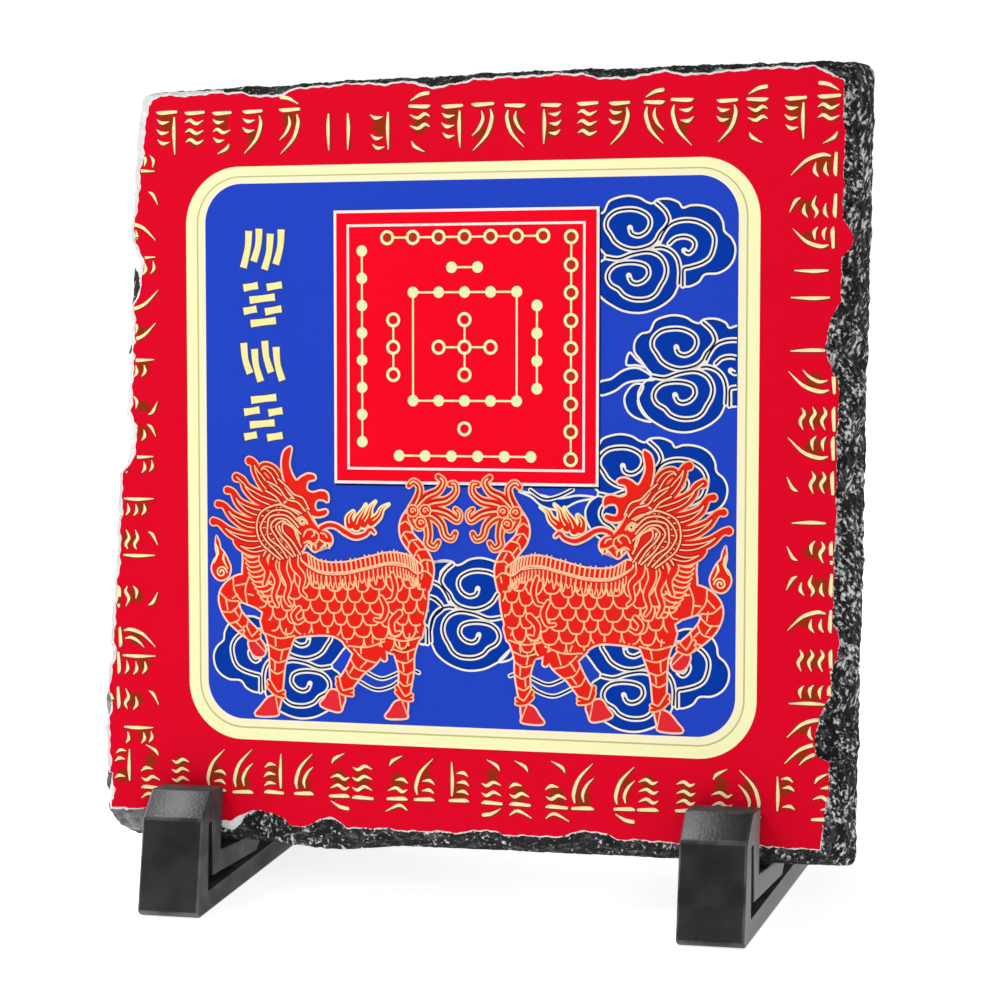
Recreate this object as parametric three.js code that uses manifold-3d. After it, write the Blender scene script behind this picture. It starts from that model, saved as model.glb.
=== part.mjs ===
// A printed slate plaque that leans back in two moulded easel feet.
// Millimetres, +Z up, printed face towards -Y, origin on the ground under the middle of the box.
import * as THREE from "three";
import Module from "manifold-3d";

const wasm = await Module();
wasm.setup();

const DEGREE = Math.PI / 180;

// The slate slab, measured over its widest edges.
const SLATE_WIDTH = 150;
const SLATE_HEIGHT = 150;
const SLATE_THICKNESS = 10;
const SLATE_LEAN = 16.8 * DEGREE;

// The corner radii of the slab's back outline: the bottom left corner is broken away furthest.
const CORNER_BOTTOM_LEFT = 8;
const CORNER_BOTTOM_RIGHT = 2.5;
const CORNER_TOP_RIGHT = 3.5;
const CORNER_TOP_LEFT = 3.5;

// Where the front plane of the slab meets the level of its bottom edge, from the feet's front.
const SLATE_FRONT = 13.9;
const SLATE_BOTTOM = 12.1;

// How far the broken edge draws the printed face in from the back outline, on each side.
const BREAK_LEFT = 1.6;
const BREAK_RIGHT = 3;
const BREAK_TOP = 2.1;
const BREAK_BOTTOM = 3.1;
const BREAK_LEAST = 0.3;
const BREAK_CURVE = 1.5;
const BREAK_ROUGHNESS = 0.5;
const EDGE_ROUGHNESS = 0.27;
const CHIP_CURVE = 1.4;
const EDGE_STATIONS = 336;
const EDGE_LEVELS = 6;

// The chips that show in the printed face: the side, the place along it, the width and the depth.
// A negative depth is a tongue of printed face that the break has left standing.
const CHIPS = [
  { side: "right", at: 97, width: 15, depth: 3 },
  { side: "right", at: 22, width: 18, depth: 3.2 },
  { side: "right", at: 4, width: 7, depth: 1.2 },
  { side: "right", at: 139, width: 8, depth: 0.8 },
  { side: "right", at: 118, width: 7, depth: -1.4 },
  { side: "right", at: 40, width: 8, depth: -1.2 },
  { side: "left", at: 113, width: 10, depth: 2.2 },
  { side: "left", at: 144, width: 10, depth: 1 },
  { side: "left", at: 79, width: 13, depth: 2 },
  { side: "left", at: 62, width: 8, depth: 0.8 },
  { side: "left", at: 27, width: 9, depth: 1.3 },
  { side: "top", at: -46, width: 9, depth: 1.1 },
  { side: "top", at: 25, width: 14, depth: 0.9 },
  { side: "top", at: 70, width: 8, depth: 1.4 },
  { side: "top", at: -25, width: 18, depth: -0.8 },
  { side: "bottom", at: -40, width: 12, depth: 2 },
  { side: "bottom", at: -52, width: 10, depth: 2.4 },
  { side: "bottom", at: -70, width: 9, depth: 1.4 },
  { side: "bottom", at: -26, width: 7, depth: 1.2 },
  { side: "bottom", at: 30, width: 10, depth: 0.7 },
];

// The underside swells below its line between the feet.
const SWELL_AT = -30;
const SWELL_WIDTH = 38;
const SWELL_DEPTH = 1.3;

// The easel feet, measured from the front bottom edge of a foot.
const FOOT_WIDTH = 13;
const FOOT_LENGTH = 62;
const LEFT_FOOT_X = -55.5;
const RIGHT_FOOT_X = 52.9;
const POST_FACE_HEIGHT = 18.3;
const POST_FACE_SETBACK = 6.2;
const POST_TOP_FRONT = [11.2, 22.7];
const POST_TOP_REAR_HEIGHT = 22;
const LEDGE_TILT = 8 * DEGREE;
const LEDGE_FRONT = 13.3;
const LEDGE_END = 27.2;
const WALL_HEIGHT = 40;
const WALL_TOP_THICKNESS = 4.2;
const WALL_TOP_BEVEL = 1;
const TAIL_HEIGHT = 2.4;
const MOULD_EDGE = 0.8;
const GAP = 0.3;

// The pockets that the mould leaves in both sides of a foot, and the web between them.
const WEB_THICKNESS = 2.4;
const RIM = 4;
const GROOVE_TOP = 16.8;
const GROOVE_FRONT_TOP = 8.6;
const GROOVE_FRONT_FOOT = 5.7;
const GROOVE_REAR_TOP = 10.3;
const LEDGE_UNDERSIDE_FRONT = [8.5, 6.4];
const LEDGE_UNDERSIDE_REAR = [29, 4.9];
const WALL_REAR_FOOT = [31.2, 6.6];
const POCKET_TOP = 32;
const POCKET_TOP_WIDTH = 0.6;

const DEPTH = SLATE_FRONT + SLATE_HEIGHT * Math.sin(SLATE_LEAN) + SLATE_THICKNESS * Math.cos(SLATE_LEAN);
const FEET_FRONT = -DEPTH / 2;

const slateMaterial = new THREE.MeshStandardMaterial({ color: "#3b3c3e", roughness: 0.8, metalness: 0 });
const plasticMaterial = new THREE.MeshStandardMaterial({ color: "#262628", roughness: 0.45, metalness: 0 });

// A smooth repeatable roughness between -1 and 1 along the edge, at three sizes of break.
function roughness(along, phase) {
  const coarse = Math.sin(along * 0.43 + phase) * Math.sin(along * 0.171 + 2.1 * phase);
  const middle = Math.sin(along * 1.13 + 3.7 * phase);
  const fine = Math.sin(along * 2.57 + 5.3 * phase);
  return 0.5 * coarse + 0.3 * middle + 0.2 * fine;
}

// The sides of the back outline in order, each with the radius of the corner that ends it.
const OUTLINE = [
  {
    side: "bottom",
    length: SLATE_WIDTH - CORNER_BOTTOM_LEFT - CORNER_BOTTOM_RIGHT,
    from: [CORNER_BOTTOM_LEFT - SLATE_WIDTH / 2, 0],
    ahead: [1, 0],
    radius: CORNER_BOTTOM_RIGHT,
  },
  {
    side: "right",
    length: SLATE_HEIGHT - CORNER_BOTTOM_RIGHT - CORNER_TOP_RIGHT,
    from: [SLATE_WIDTH / 2, CORNER_BOTTOM_RIGHT],
    ahead: [0, 1],
    radius: CORNER_TOP_RIGHT,
  },
  {
    side: "top",
    length: SLATE_WIDTH - CORNER_TOP_RIGHT - CORNER_TOP_LEFT,
    from: [SLATE_WIDTH / 2 - CORNER_TOP_RIGHT, SLATE_HEIGHT],
    ahead: [-1, 0],
    radius: CORNER_TOP_LEFT,
  },
  {
    side: "left",
    length: SLATE_HEIGHT - CORNER_TOP_LEFT - CORNER_BOTTOM_LEFT,
    from: [-SLATE_WIDTH / 2, SLATE_HEIGHT - CORNER_TOP_LEFT],
    ahead: [0, -1],
    radius: CORNER_BOTTOM_LEFT,
  },
];

// The point, outward normal and side of the back outline at a distance along it.
function outlineStation(distance) {
  let rest = distance;
  for (const { side, length, from, ahead, radius } of OUTLINE) {
    const outward = [ahead[1], -ahead[0]];
    if (rest <= length) {
      return { u: from[0] + ahead[0] * rest, v: from[1] + ahead[1] * rest, outward, side };
    }
    rest -= length;
    if (rest <= (radius * Math.PI) / 2) {
      const angle = rest / radius;
      const radial = [0, 1].map((i) => outward[i] * Math.cos(angle) + ahead[i] * Math.sin(angle));
      const centre = [0, 1].map((i) => from[i] + ahead[i] * length - outward[i] * radius);
      return {
        u: centre[0] + radial[0] * radius,
        v: centre[1] + radial[1] * radius,
        outward: radial,
        side: "corner",
      };
    }
    rest -= (radius * Math.PI) / 2;
  }
  return outlineStation(0);
}

// How far the printed face stands in from the back outline at a station.
function breakDepth(station, distance) {
  const [outU, outV] = station.outward;
  const margin =
    BREAK_RIGHT * Math.max(outU, 0) ** 2 +
    BREAK_LEFT * Math.max(-outU, 0) ** 2 +
    BREAK_TOP * Math.max(outV, 0) ** 2 +
    BREAK_BOTTOM * Math.max(-outV, 0) ** 2;
  let depth = margin + BREAK_ROUGHNESS * roughness(distance, 0.6);
  for (const chip of CHIPS) {
    const upright = chip.side === "left" || chip.side === "right";
    const place = upright ? station.v : station.u;
    const away = Math.abs(place - chip.at) / (chip.width / 2);
    if (chip.side === station.side && away < 1) {
      depth += chip.depth * Math.cos((away * Math.PI) / 2) ** CHIP_CURVE;
    }
  }
  return Math.max(depth, BREAK_LEAST);
}

// How far the underside swells past the straight bottom edge at a station.
function swell(station) {
  const away = Math.abs(station.u - SWELL_AT) / (SWELL_WIDTH / 2);
  if (station.side !== "bottom" || away > 1) return 0;
  return SWELL_DEPTH * Math.cos((away * Math.PI) / 2) ** 2;
}

// The slab: rings of the broken edge from the printed face to the back, closed by two flat faces.
function slateSolid() {
  const perimeter = OUTLINE.reduce((sum, edge) => sum + edge.length + (edge.radius * Math.PI) / 2, 0);
  const points = [];
  for (let level = 0; level < EDGE_LEVELS; level++) {
    const through = level / (EDGE_LEVELS - 1);
    for (let i = 0; i < EDGE_STATIONS; i++) {
      const distance = (i * perimeter) / EDGE_STATIONS;
      const station = outlineStation(distance);
      const slope = breakDepth(station, distance) * (1 - through) ** BREAK_CURVE;
      const bite = EDGE_ROUGHNESS * (1 + roughness(distance, 1.7 + 1.3 * level)) * Math.min(1, 3 * through);
      const inset = slope + bite - swell(station) * through;
      points.push([
        station.u - station.outward[0] * inset,
        station.v - station.outward[1] * inset,
        through * SLATE_THICKNESS,
      ]);
    }
  }
  const frontCentre = points.push([0, SLATE_HEIGHT / 2, 0]) - 1;
  const backCentre = points.push([0, SLATE_HEIGHT / 2, SLATE_THICKNESS]) - 1;
  const triangles = [];
  for (let i = 0; i < EDGE_STATIONS; i++) {
    const next = (i + 1) % EDGE_STATIONS;
    for (let level = 0; level < EDGE_LEVELS - 1; level++) {
      const near = level * EDGE_STATIONS;
      const far = near + EDGE_STATIONS;
      triangles.push([near + i, far + next, near + next], [near + i, far + i, far + next]);
    }
    const back = (EDGE_LEVELS - 1) * EDGE_STATIONS;
    triangles.push([frontCentre, i, next], [backCentre, back + next, back + i]);
  }
  return meshGeometry(points.map(slabPoint), triangles);
}

// A point of the slab, given across, up its face and through it, in the part's frame.
function slabPoint([u, v, through]) {
  return [
    u,
    FEET_FRONT + slabY(v, through),
    SLATE_BOTTOM + v * Math.cos(SLATE_LEAN) - through * Math.sin(SLATE_LEAN),
  ];
}

function slabY(v, through) {
  return SLATE_FRONT + v * Math.sin(SLATE_LEAN) + through * Math.cos(SLATE_LEAN);
}

// Where a level line meets the slab's front plane or, with the thickness, its back plane.
function planeAtHeight(z, through) {
  const v = (z - SLATE_BOTTOM + through * Math.sin(SLATE_LEAN)) / Math.cos(SLATE_LEAN);
  return slabY(v, through);
}

function meshGeometry(points, triangles) {
  const geometry = new THREE.BufferGeometry();
  geometry.setAttribute("position", new THREE.Float32BufferAttribute(points.flat(), 3));
  geometry.setIndex(triangles.flat());
  geometry.computeVertexNormals();
  return geometry;
}

// The side view of a foot: the leaning post, the notch that holds the slab, its wall and the tail.
function footProfile() {
  const clearance = GAP / Math.cos(SLATE_LEAN);
  const backEdgeY = slabY(0, SLATE_THICKNESS);
  const backEdgeZ = SLATE_BOTTOM - SLATE_THICKNESS * Math.sin(SLATE_LEAN);
  const ledgeHeight = (y) => backEdgeZ - GAP + (backEdgeY - y) * Math.tan(LEDGE_TILT);
  const cornerZ = ledgeHeight(LEDGE_FRONT);
  const wallTop = planeAtHeight(WALL_HEIGHT, SLATE_THICKNESS) + clearance;
  return [
    [0, 0],
    [FOOT_LENGTH, 0],
    [FOOT_LENGTH, TAIL_HEIGHT],
    [wallTop + WALL_TOP_THICKNESS, WALL_HEIGHT - WALL_TOP_BEVEL],
    [wallTop + WALL_TOP_THICKNESS - WALL_TOP_BEVEL, WALL_HEIGHT],
    [wallTop, WALL_HEIGHT],
    [LEDGE_END, ledgeHeight(LEDGE_END)],
    [planeAtHeight(cornerZ, 0) - clearance, cornerZ],
    [planeAtHeight(POST_TOP_REAR_HEIGHT, 0) - clearance, POST_TOP_REAR_HEIGHT],
    POST_TOP_FRONT,
    [POST_FACE_SETBACK, POST_FACE_HEIGHT],
  ];
}

// The pocket's outline: a groove behind the post's face, a strip under the ledge and the rear triangle.
function pocketProfile() {
  const profile = footProfile();
  const tail = new THREE.Vector2(...profile[2]);
  const top = new THREE.Vector2(...profile[3]);
  const along = top.clone().sub(tail).normalize();
  const inward = new THREE.Vector2(-along.y, along.x);
  const innerTail = tail.clone().addScaledVector(inward, RIM);
  const onRim = (z) => innerTail.x + (along.x * (z - innerTail.y)) / along.y;
  const wallFoot = profile[6];
  const wallTop = profile[5];
  const wallLean = (wallTop[0] - wallFoot[0]) / (wallTop[1] - wallFoot[1]);
  const behindWall = WALL_REAR_FOOT[0] + (POCKET_TOP - WALL_REAR_FOOT[1]) * wallLean;
  return [
    [GROOVE_FRONT_FOOT, RIM],
    [onRim(RIM), RIM],
    [Math.max(onRim(POCKET_TOP), behindWall + POCKET_TOP_WIDTH), POCKET_TOP],
    [behindWall, POCKET_TOP],
    WALL_REAR_FOOT,
    LEDGE_UNDERSIDE_REAR,
    LEDGE_UNDERSIDE_FRONT,
    [GROOVE_REAR_TOP, GROOVE_TOP],
    [GROOVE_FRONT_TOP, GROOVE_TOP],
  ];
}

// An upright plate of the given side view, from x = 0 to its width, as a solid for cutting.
function plateSolid(profile, width, edge) {
  const outline = profile.map(([y, z]) => new THREE.Vector2(y, z));
  const geometry = new THREE.ExtrudeGeometry(new THREE.Shape(outline), {
    depth: width - 2 * edge,
    bevelEnabled: edge > 0,
    bevelThickness: edge,
    bevelSize: edge,
    bevelOffset: -edge,
    bevelSegments: 2,
    steps: 1,
  });
  geometry.translate(0, 0, edge);
  // The side view lies in X and Y as drawn: turned so that it stands in Y and Z, with its width along X.
  geometry.applyMatrix4(new THREE.Matrix4().set(0, 0, 1, 0, 1, 0, 0, 0, 0, 1, 0, 0, 0, 0, 0, 1));
  return toManifold(geometry);
}

function toManifold(geometry) {
  const flat = geometry.index ? geometry.toNonIndexed() : geometry;
  const position = flat.getAttribute("position");
  const vertices = [];
  const numbers = [];
  const known = new Map();
  for (let i = 0; i < position.count; i++) {
    const point = [position.getX(i), position.getY(i), position.getZ(i)];
    const key = point.map((value) => Math.round(value * 1e4)).join(",");
    if (!known.has(key)) {
      known.set(key, vertices.length / 3);
      vertices.push(...point);
    }
    numbers.push(known.get(key));
  }
  const mesh = new wasm.Mesh({
    numProp: 3,
    vertProperties: new Float32Array(vertices),
    triVerts: new Uint32Array(numbers),
  });
  return new wasm.Manifold(mesh);
}

function fromManifold(solid) {
  const mesh = solid.getMesh();
  const geometry = new THREE.BufferGeometry();
  geometry.setAttribute("position", new THREE.BufferAttribute(mesh.vertProperties, 3));
  geometry.setIndex(new THREE.BufferAttribute(mesh.triVerts, 1));
  return geometry;
}

// A foot: the bevelled plate with a pocket in each side, which leaves the web in the middle.
function footGeometry() {
  const body = plateSolid(footProfile(), FOOT_WIDTH, MOULD_EDGE);
  const pocketDepth = (FOOT_WIDTH - WEB_THICKNESS) / 2;
  const pocket = plateSolid(pocketProfile(), pocketDepth + 1, 0);
  const nearSide = pocket.translate([-1, 0, 0]);
  const farSide = pocket.translate([FOOT_WIDTH - pocketDepth, 0, 0]);
  const foot = body.subtract(nearSide).subtract(farSide);
  return fromManifold(foot.translate([-FOOT_WIDTH / 2, FEET_FRONT, 0]));
}

const slate = new THREE.Mesh(slateSolid(), slateMaterial);
slate.name = "slate_slab";

const feet = [
  ["left_foot", LEFT_FOOT_X],
  ["right_foot", RIGHT_FOOT_X],
].map(([name, x]) => {
  const foot = new THREE.Mesh(footGeometry(), plasticMaterial);
  foot.name = name;
  foot.position.x = x;
  return foot;
});

const plaque = new THREE.Group();
plaque.add(slate, ...feet);

export default plaque;
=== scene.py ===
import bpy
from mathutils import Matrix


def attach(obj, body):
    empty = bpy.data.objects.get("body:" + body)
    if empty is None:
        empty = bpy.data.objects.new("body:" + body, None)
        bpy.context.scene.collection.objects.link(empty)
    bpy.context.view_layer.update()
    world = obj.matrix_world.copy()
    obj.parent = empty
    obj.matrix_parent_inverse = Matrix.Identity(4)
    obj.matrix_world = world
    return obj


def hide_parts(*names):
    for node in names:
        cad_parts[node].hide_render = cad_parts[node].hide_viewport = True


bl_info = {
    "name": "Slate Plaque on Easel Feet",
    "version": (1, 0, 0),
    "blender": (4, 5, 0),
    "location": "View3D > Sidebar > Plaque",
    "description": "A printed slate plaque that leans back in two moulded easel feet",
    "category": "Add Mesh",
}

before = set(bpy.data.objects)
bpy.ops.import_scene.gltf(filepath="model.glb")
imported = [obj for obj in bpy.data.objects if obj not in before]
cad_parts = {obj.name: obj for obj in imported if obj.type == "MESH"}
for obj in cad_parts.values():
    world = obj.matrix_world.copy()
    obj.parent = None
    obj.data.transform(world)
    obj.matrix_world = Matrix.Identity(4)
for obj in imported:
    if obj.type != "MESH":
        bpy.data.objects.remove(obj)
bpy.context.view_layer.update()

import math
import random

import bpy
from mathutils import Matrix, Vector, noise

MM = 0.001


def linear_colour(hex_text, alpha=1.0):
    """The linear colour of an sRGB hex value such as "#d9a441"."""
    channels = [int(hex_text[i : i + 2], 16) / 255 for i in (1, 3, 5)]
    linear = [c / 12.92 if c <= 0.04045 else ((c + 0.055) / 1.055) ** 2.4 for c in channels]
    return (*linear, alpha)


def length(name, description, millimetres):
    """A size that a user may change, given in millimetres and kept in metres."""
    return bpy.props.FloatProperty(
        name=name, description=description, default=millimetres * MM, unit="LENGTH", precision=4
    )


def colour(name, description, hex_text):
    return bpy.props.FloatVectorProperty(
        name=name,
        description=description,
        subtype="COLOR",
        size=4,
        min=0.0,
        max=1.0,
        default=linear_colour(hex_text),
    )


class SlateSettings(bpy.types.PropertyGroup):
    width: length("Width", "Width of the slab over its widest edges", 150)
    height: length("Height", "Height of the slab up its face", 150)
    thickness: length("Thickness", "Thickness of the slab", 10)
    lean: bpy.props.FloatProperty(
        name="Lean", description="How far the slab leans back", default=math.radians(16.8), subtype="ANGLE"
    )
    front: length("Front setback", "From the feet's front to the slab's face, at the bottom edge", 13.9)
    bottom: length("Bottom height", "Height of the front bottom edge", 12.1)
    dark: colour("Dark slate", "The deep grey of a fresh break", "#08080a")
    light: colour("Light slate", "The paler grey of the crests", "#66676a")
    fleck: colour("Flecks", "Bruised stone along the broken edge", "#f4f4f2")
    smooth: colour("Smooth break", "The dull grey of a smooth break", "#bababc")
    coat: colour("White coat", "The white coat under the print", "#ffffff")


class FootSettings(bpy.types.PropertyGroup):
    width: length("Width", "Width of a foot", 13)
    length: length("Length", "Length of a foot along the table", 62)
    left_x: length("Left foot", "Place of the left foot across the slab", -55.5)
    right_x: length("Right foot", "Place of the right foot across the slab", 52.9)
    edge: length("Edge", "Width of the moulded edges", 0.5)
    plastic: colour("Plastic", "Colour of the moulded plastic", "#08080a")
    # A painted highlight: the right foot's outer side is tinted pale grey as if lit from the right.
    painted_side_highlight: colour("Side with painted highlight", "The right foot's outer side, painted pale as if lit from the right", "#868688")
    # The sides and tops of both feet are tinted paler than the front: painted light where light falls on
    # them, on a matt finish.
    side: colour("Matt sides", "The matt plastic of the sides and tops, painted paler as if lit", "#39393a")
    # The paler grey of the feet: abraded patches on every face, and on the bevels and the sides painted
    # highlight and painted light as well.
    abrasion_and_highlight: colour("Abraded and highlighted edges", "Pale grey of abraded patches and of the painted highlight on the edges", "#7a7a7d")


class PrintSettings(bpy.types.PropertyGroup):
    step: length("Ink step", "Height of one ink above the last", 0.02)
    border_red: colour("Border", "Ground of the border", "#df0426")
    panel_blue: colour("Panel", "Ground of the panel", "#2244c2")
    cloud_blue: colour("Cloud", "Inside of the clouds", "#0438a6")
    line_navy: colour("Cloud shadow", "The thin dark line inside the cloud bands", "#0c1748")
    line_pale: colour("Cloud line", "The pale lines of the clouds", "#f3eee6")
    cream: colour("Cream", "Outer band of the frame", "#f9f9c0")
    cream_deep: colour("Deep cream", "Inner band of the frame", "#fbf3ca")
    groove: colour("Groove", "The thin line in the frame", "#c3c17c")
    mark_yellow: colour("Marks", "The bold marks beside the chart", "#faf0a4")
    mark_edge: colour("Mark edge", "The thin dark edge of the marks", "#4a4668")
    chart_red: colour("Chart", "Ground of the chart", "#f50423")
    dot: colour("Dots", "The dots of the chart", "#ebf3b6")
    ring_fill: colour("Ring middles", "Inside of the open rings of the chart", "#c22d18")
    gold: colour("Gold strokes", "The strokes in the border", "#fdeeb4")
    gold_shade: colour("Stroke shade", "The brown between the strokes", "#9c2f10")
    beast_red: colour("Beast", "The beasts' coat", "#ea2418")
    mane_red: colour("Mane", "The beasts' mane", "#b8141a")
    peach: colour("Beast line", "The lines of the scales and the mane", "#fbc594")
    rim: colour("Beast rim", "The pale outline of the beasts", "#fbd3bb")
    tuft: colour("Tuft", "The tips of the tails", "#dc3a20")
    flame: colour("Flame", "The yellow edge of the flames", "#faedb0")


class StageSettings(bpy.types.PropertyGroup):
    floor: colour("Floor", "Colour of the floor", "#fbfbfb")
    lens: bpy.props.FloatProperty(name="Lens", description="Focal length", default=108.2, unit="CAMERA")


def add_node(tree, kind, settings=(), inputs=(), stops=()):
    """Adds a node. An input is a value, or the output socket of another node that feeds it."""
    made = tree.nodes.new(kind)
    for name, value in dict(settings).items():
        setattr(made, name, value)
    for name, value in dict(inputs).items():
        if isinstance(value, bpy.types.NodeSocket):
            tree.links.new(value, made.inputs[name])
        else:
            made.inputs[name].default_value = value
    ramp = made.color_ramp.elements if stops else []
    for number, (place, value) in enumerate(stops):
        stop = ramp[number] if number < 2 else ramp.new(place)
        stop.position = place
        stop.color = value
    return made


def noise_node(tree, place, scale, detail, roughness=0.5):
    inputs = {"Vector": place, "Scale": scale, "Detail": detail, "Roughness": roughness}
    return add_node(tree, "ShaderNodeTexNoise", inputs=inputs).outputs["Fac"]


def range_node(tree, value, start=0.0, end=1.0, low=0.0, high=1.0):
    """Takes the range from start to end to the range from low to high."""
    inputs = {"Value": value, "From Min": start, "From Max": end, "To Min": low, "To Max": high}
    return add_node(tree, "ShaderNodeMapRange", inputs=inputs).outputs[0]


def times_plus(tree, value, factor, added=0.0):
    """A value times a factor, and then a value added."""
    inputs = {0: value, 1: factor, 2: added}
    return add_node(tree, "ShaderNodeMath", {"operation": "MULTIPLY_ADD"}, inputs).outputs[0]


def mix_node(tree, share, first, second, kind="RGBA"):
    inputs = {"Factor": share, "A": first, "B": second}
    return add_node(tree, "ShaderNodeMix", {"data_type": kind}, inputs).outputs["Result"]


def bump_node(tree, height, strength, distance):
    inputs = {"Height": height, "Strength": strength, "Distance": distance}
    return add_node(tree, "ShaderNodeBump", inputs=inputs).outputs["Normal"]


def point_value(tree, name):
    """A value that the mesh keeps for each of its points."""
    return add_node(tree, "ShaderNodeAttribute", {"attribute_name": name}).outputs["Fac"]


def grey(value):
    return (value, value, value, 1.0)


def new_material(name):
    """A new material, its empty tree and the object's own coordinates."""
    material = bpy.data.materials.new(name)
    material.use_nodes = True
    tree = material.node_tree
    tree.nodes.clear()
    return material, tree, add_node(tree, "ShaderNodeTexCoord").outputs["Object"]


def finish_material(tree, inputs):
    shader = add_node(tree, "ShaderNodeBsdfPrincipled", inputs=inputs)
    add_node(tree, "ShaderNodeOutputMaterial", inputs={"Surface": shader.outputs["BSDF"]})


def split_slate_material(settings):
    """Natural slate, split and trimmed by hand: dull dark breaks with bruised pale flecks."""
    material, tree, place = new_material("split slate")
    # Mineral bands a few millimetres wide lie a little askew of the slab.
    askew = {"Vector": place, "Rotation": (0.3, 0.5, 0.2), "Scale": (1.0, 2.2, 1.0)}
    bands = add_node(tree, "ShaderNodeMapping", inputs=askew).outputs[0]
    mottle = noise_node(tree, bands, 330.0, 8.0, 0.72)
    tones = [(0.4, settings.dark), (0.66, settings.light), (0.52, linear_colour("#1a1b1d"))]
    tone = add_node(tree, "ShaderNodeValToRGB", inputs={"Fac": mottle}, stops=tones).outputs["Color"]
    # Bruises where the trimming tool struck are short pale streaks, about three times as long as
    # they are wide. They slant one way or the other, by patches of about 12 mm.
    streaks = []
    for slant in (1.0, -0.9):
        laid = add_node(
            tree,
            "ShaderNodeMapping",
            {"vector_type": "TEXTURE"},
            {"Vector": place, "Rotation": (slant, 0.35, 0.1), "Scale": (1.0, 1.0, 3.0)},
        )
        streaks.append(noise_node(tree, laid.outputs[0], 1200.0, 3.0, 0.62))
    patches = noise_node(tree, place, 85.0, 2.0)
    slanted = mix_node(tree, range_node(tree, patches, 0.53, 0.58), *streaks, "FLOAT")
    # The tool struck the right side hardest. The lower left corner broke off smooth and grey.
    crowd = noise_node(tree, place, 260.0, 4.0)
    struck = point_value(tree, "bruised")
    amount = times_plus(tree, struck, 0.14, times_plus(tree, crowd, 0.42, slanted))
    bloom = range_node(tree, struck, 0.3, 0.0, high=0.85)
    cloudy = range_node(tree, crowd, 0.36, 0.64, low=0.15)
    tone = mix_node(tree, times_plus(tree, bloom, cloudy), tone, settings.smooth)
    stone = mix_node(tree, range_node(tree, amount, 0.878, 0.99), tone, settings.fleck)
    # The white coat runs a little way over the broken edge and stops at a ragged line.
    ragged = noise_node(tree, place, 1400.0, 3.0)
    cover = times_plus(tree, ragged, 1.1, point_value(tree, "coat_reach"))
    grain = noise_node(tree, bands, 620.0, 8.0, 0.7)
    surface = {
        "Base Color": mix_node(tree, range_node(tree, cover, 0.52, 0.62), stone, settings.coat),
        "Normal": bump_node(tree, grain, 1.0, 0.0013),
        "Roughness": 0.75,
        "IOR": 1.5,
        "Specular IOR Level": 0.2,
    }
    finish_material(tree, surface)
    return material


def print_ink(name, tint, depth):
    """Dye ink pressed hot into a clear coat: even, strong colour under a satin skin."""
    material, tree, place = new_material(name)
    # The dye takes unevenly over patches of about 9 mm, by a few parts in a hundred.
    patches = noise_node(tree, place, 110.0, 3.0)
    # The grain of the slate under the coat, about 0.7 mm, shows as faint specks.
    specks = noise_node(tree, place, 1400.0, 2.0)
    blend = times_plus(tree, specks, 0.5, patches)
    shade = range_node(tree, blend, 0.5, 1.0, low=depth, high=0.0)
    deep = tuple(channel * 0.55 for channel in tint[:3]) + (1.0,)
    surface = {
        "Base Color": mix_node(tree, shade, tuple(tint), deep),
        "Normal": bump_node(tree, blend, 0.12, 0.0002),
        "Roughness": 0.45,
        "IOR": 1.45,
        "Specular IOR Level": 0.05,
    }
    finish_material(tree, surface)
    return material


def moulded_plastic_material(name, tint, pale, pale_share, shine):
    """Injection-moulded ABS: near black, with cloudy patches of a paler grey; satin in front, matt at its
    sides, paler at corners. On the bevels and the sides that paler grey is painted light as well as wear.
    """
    material, tree, place = new_material(name)
    # The mould's fine spark texture is about 0.3 mm, drawn at 0.6 mm so that it shows.
    spark = noise_node(tree, place, 1700.0, 3.0)
    cloudy = noise_node(tree, place, 170.0, 5.0)
    # The paler grey comes in by this share: wear on the front faces, and on the bevels and sides painted
    # light as well.
    pale_mask = range_node(tree, cloudy, 0.35, 0.65, high=pale_share)
    surface = {
        "Base Color": mix_node(tree, pale_mask, tint, pale),
        "Normal": bump_node(tree, spark, 0.25, 0.0002),
        "Roughness": range_node(tree, cloudy, low=0.55 - 0.5 * shine, high=0.7 - 0.5 * shine),
        "IOR": 1.5,
        "Specular IOR Level": shine,
    }
    finish_material(tree, surface)
    return material


# The corner radii of the slab's back outline, in millimetres.
CORNER_BOTTOM_LEFT = 5.5
CORNER_BOTTOM_RIGHT = 2.5
CORNER_TOP_RIGHT = 2.4
CORNER_TOP_LEFT = 3.5

# How far the broken edge draws the printed face in from the back outline, on each side.
BREAK_LEFT = 0.15
BREAK_RIGHT = 3.1
BREAK_TOP = 2.1
BREAK_BOTTOM = 3.1
BREAK_LEAST = 0.3
LEFT_BREAK_LEAST = -0.45
BREAK_CURVE = 2.7
LEFT_BREAK_CURVE = 8
BREAK_ROUGHNESS = 0.34
EDGE_ROUGHNESS = 0.3
EDGE_MEAN = 0.4
CHIP_CURVE = 0.9

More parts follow.
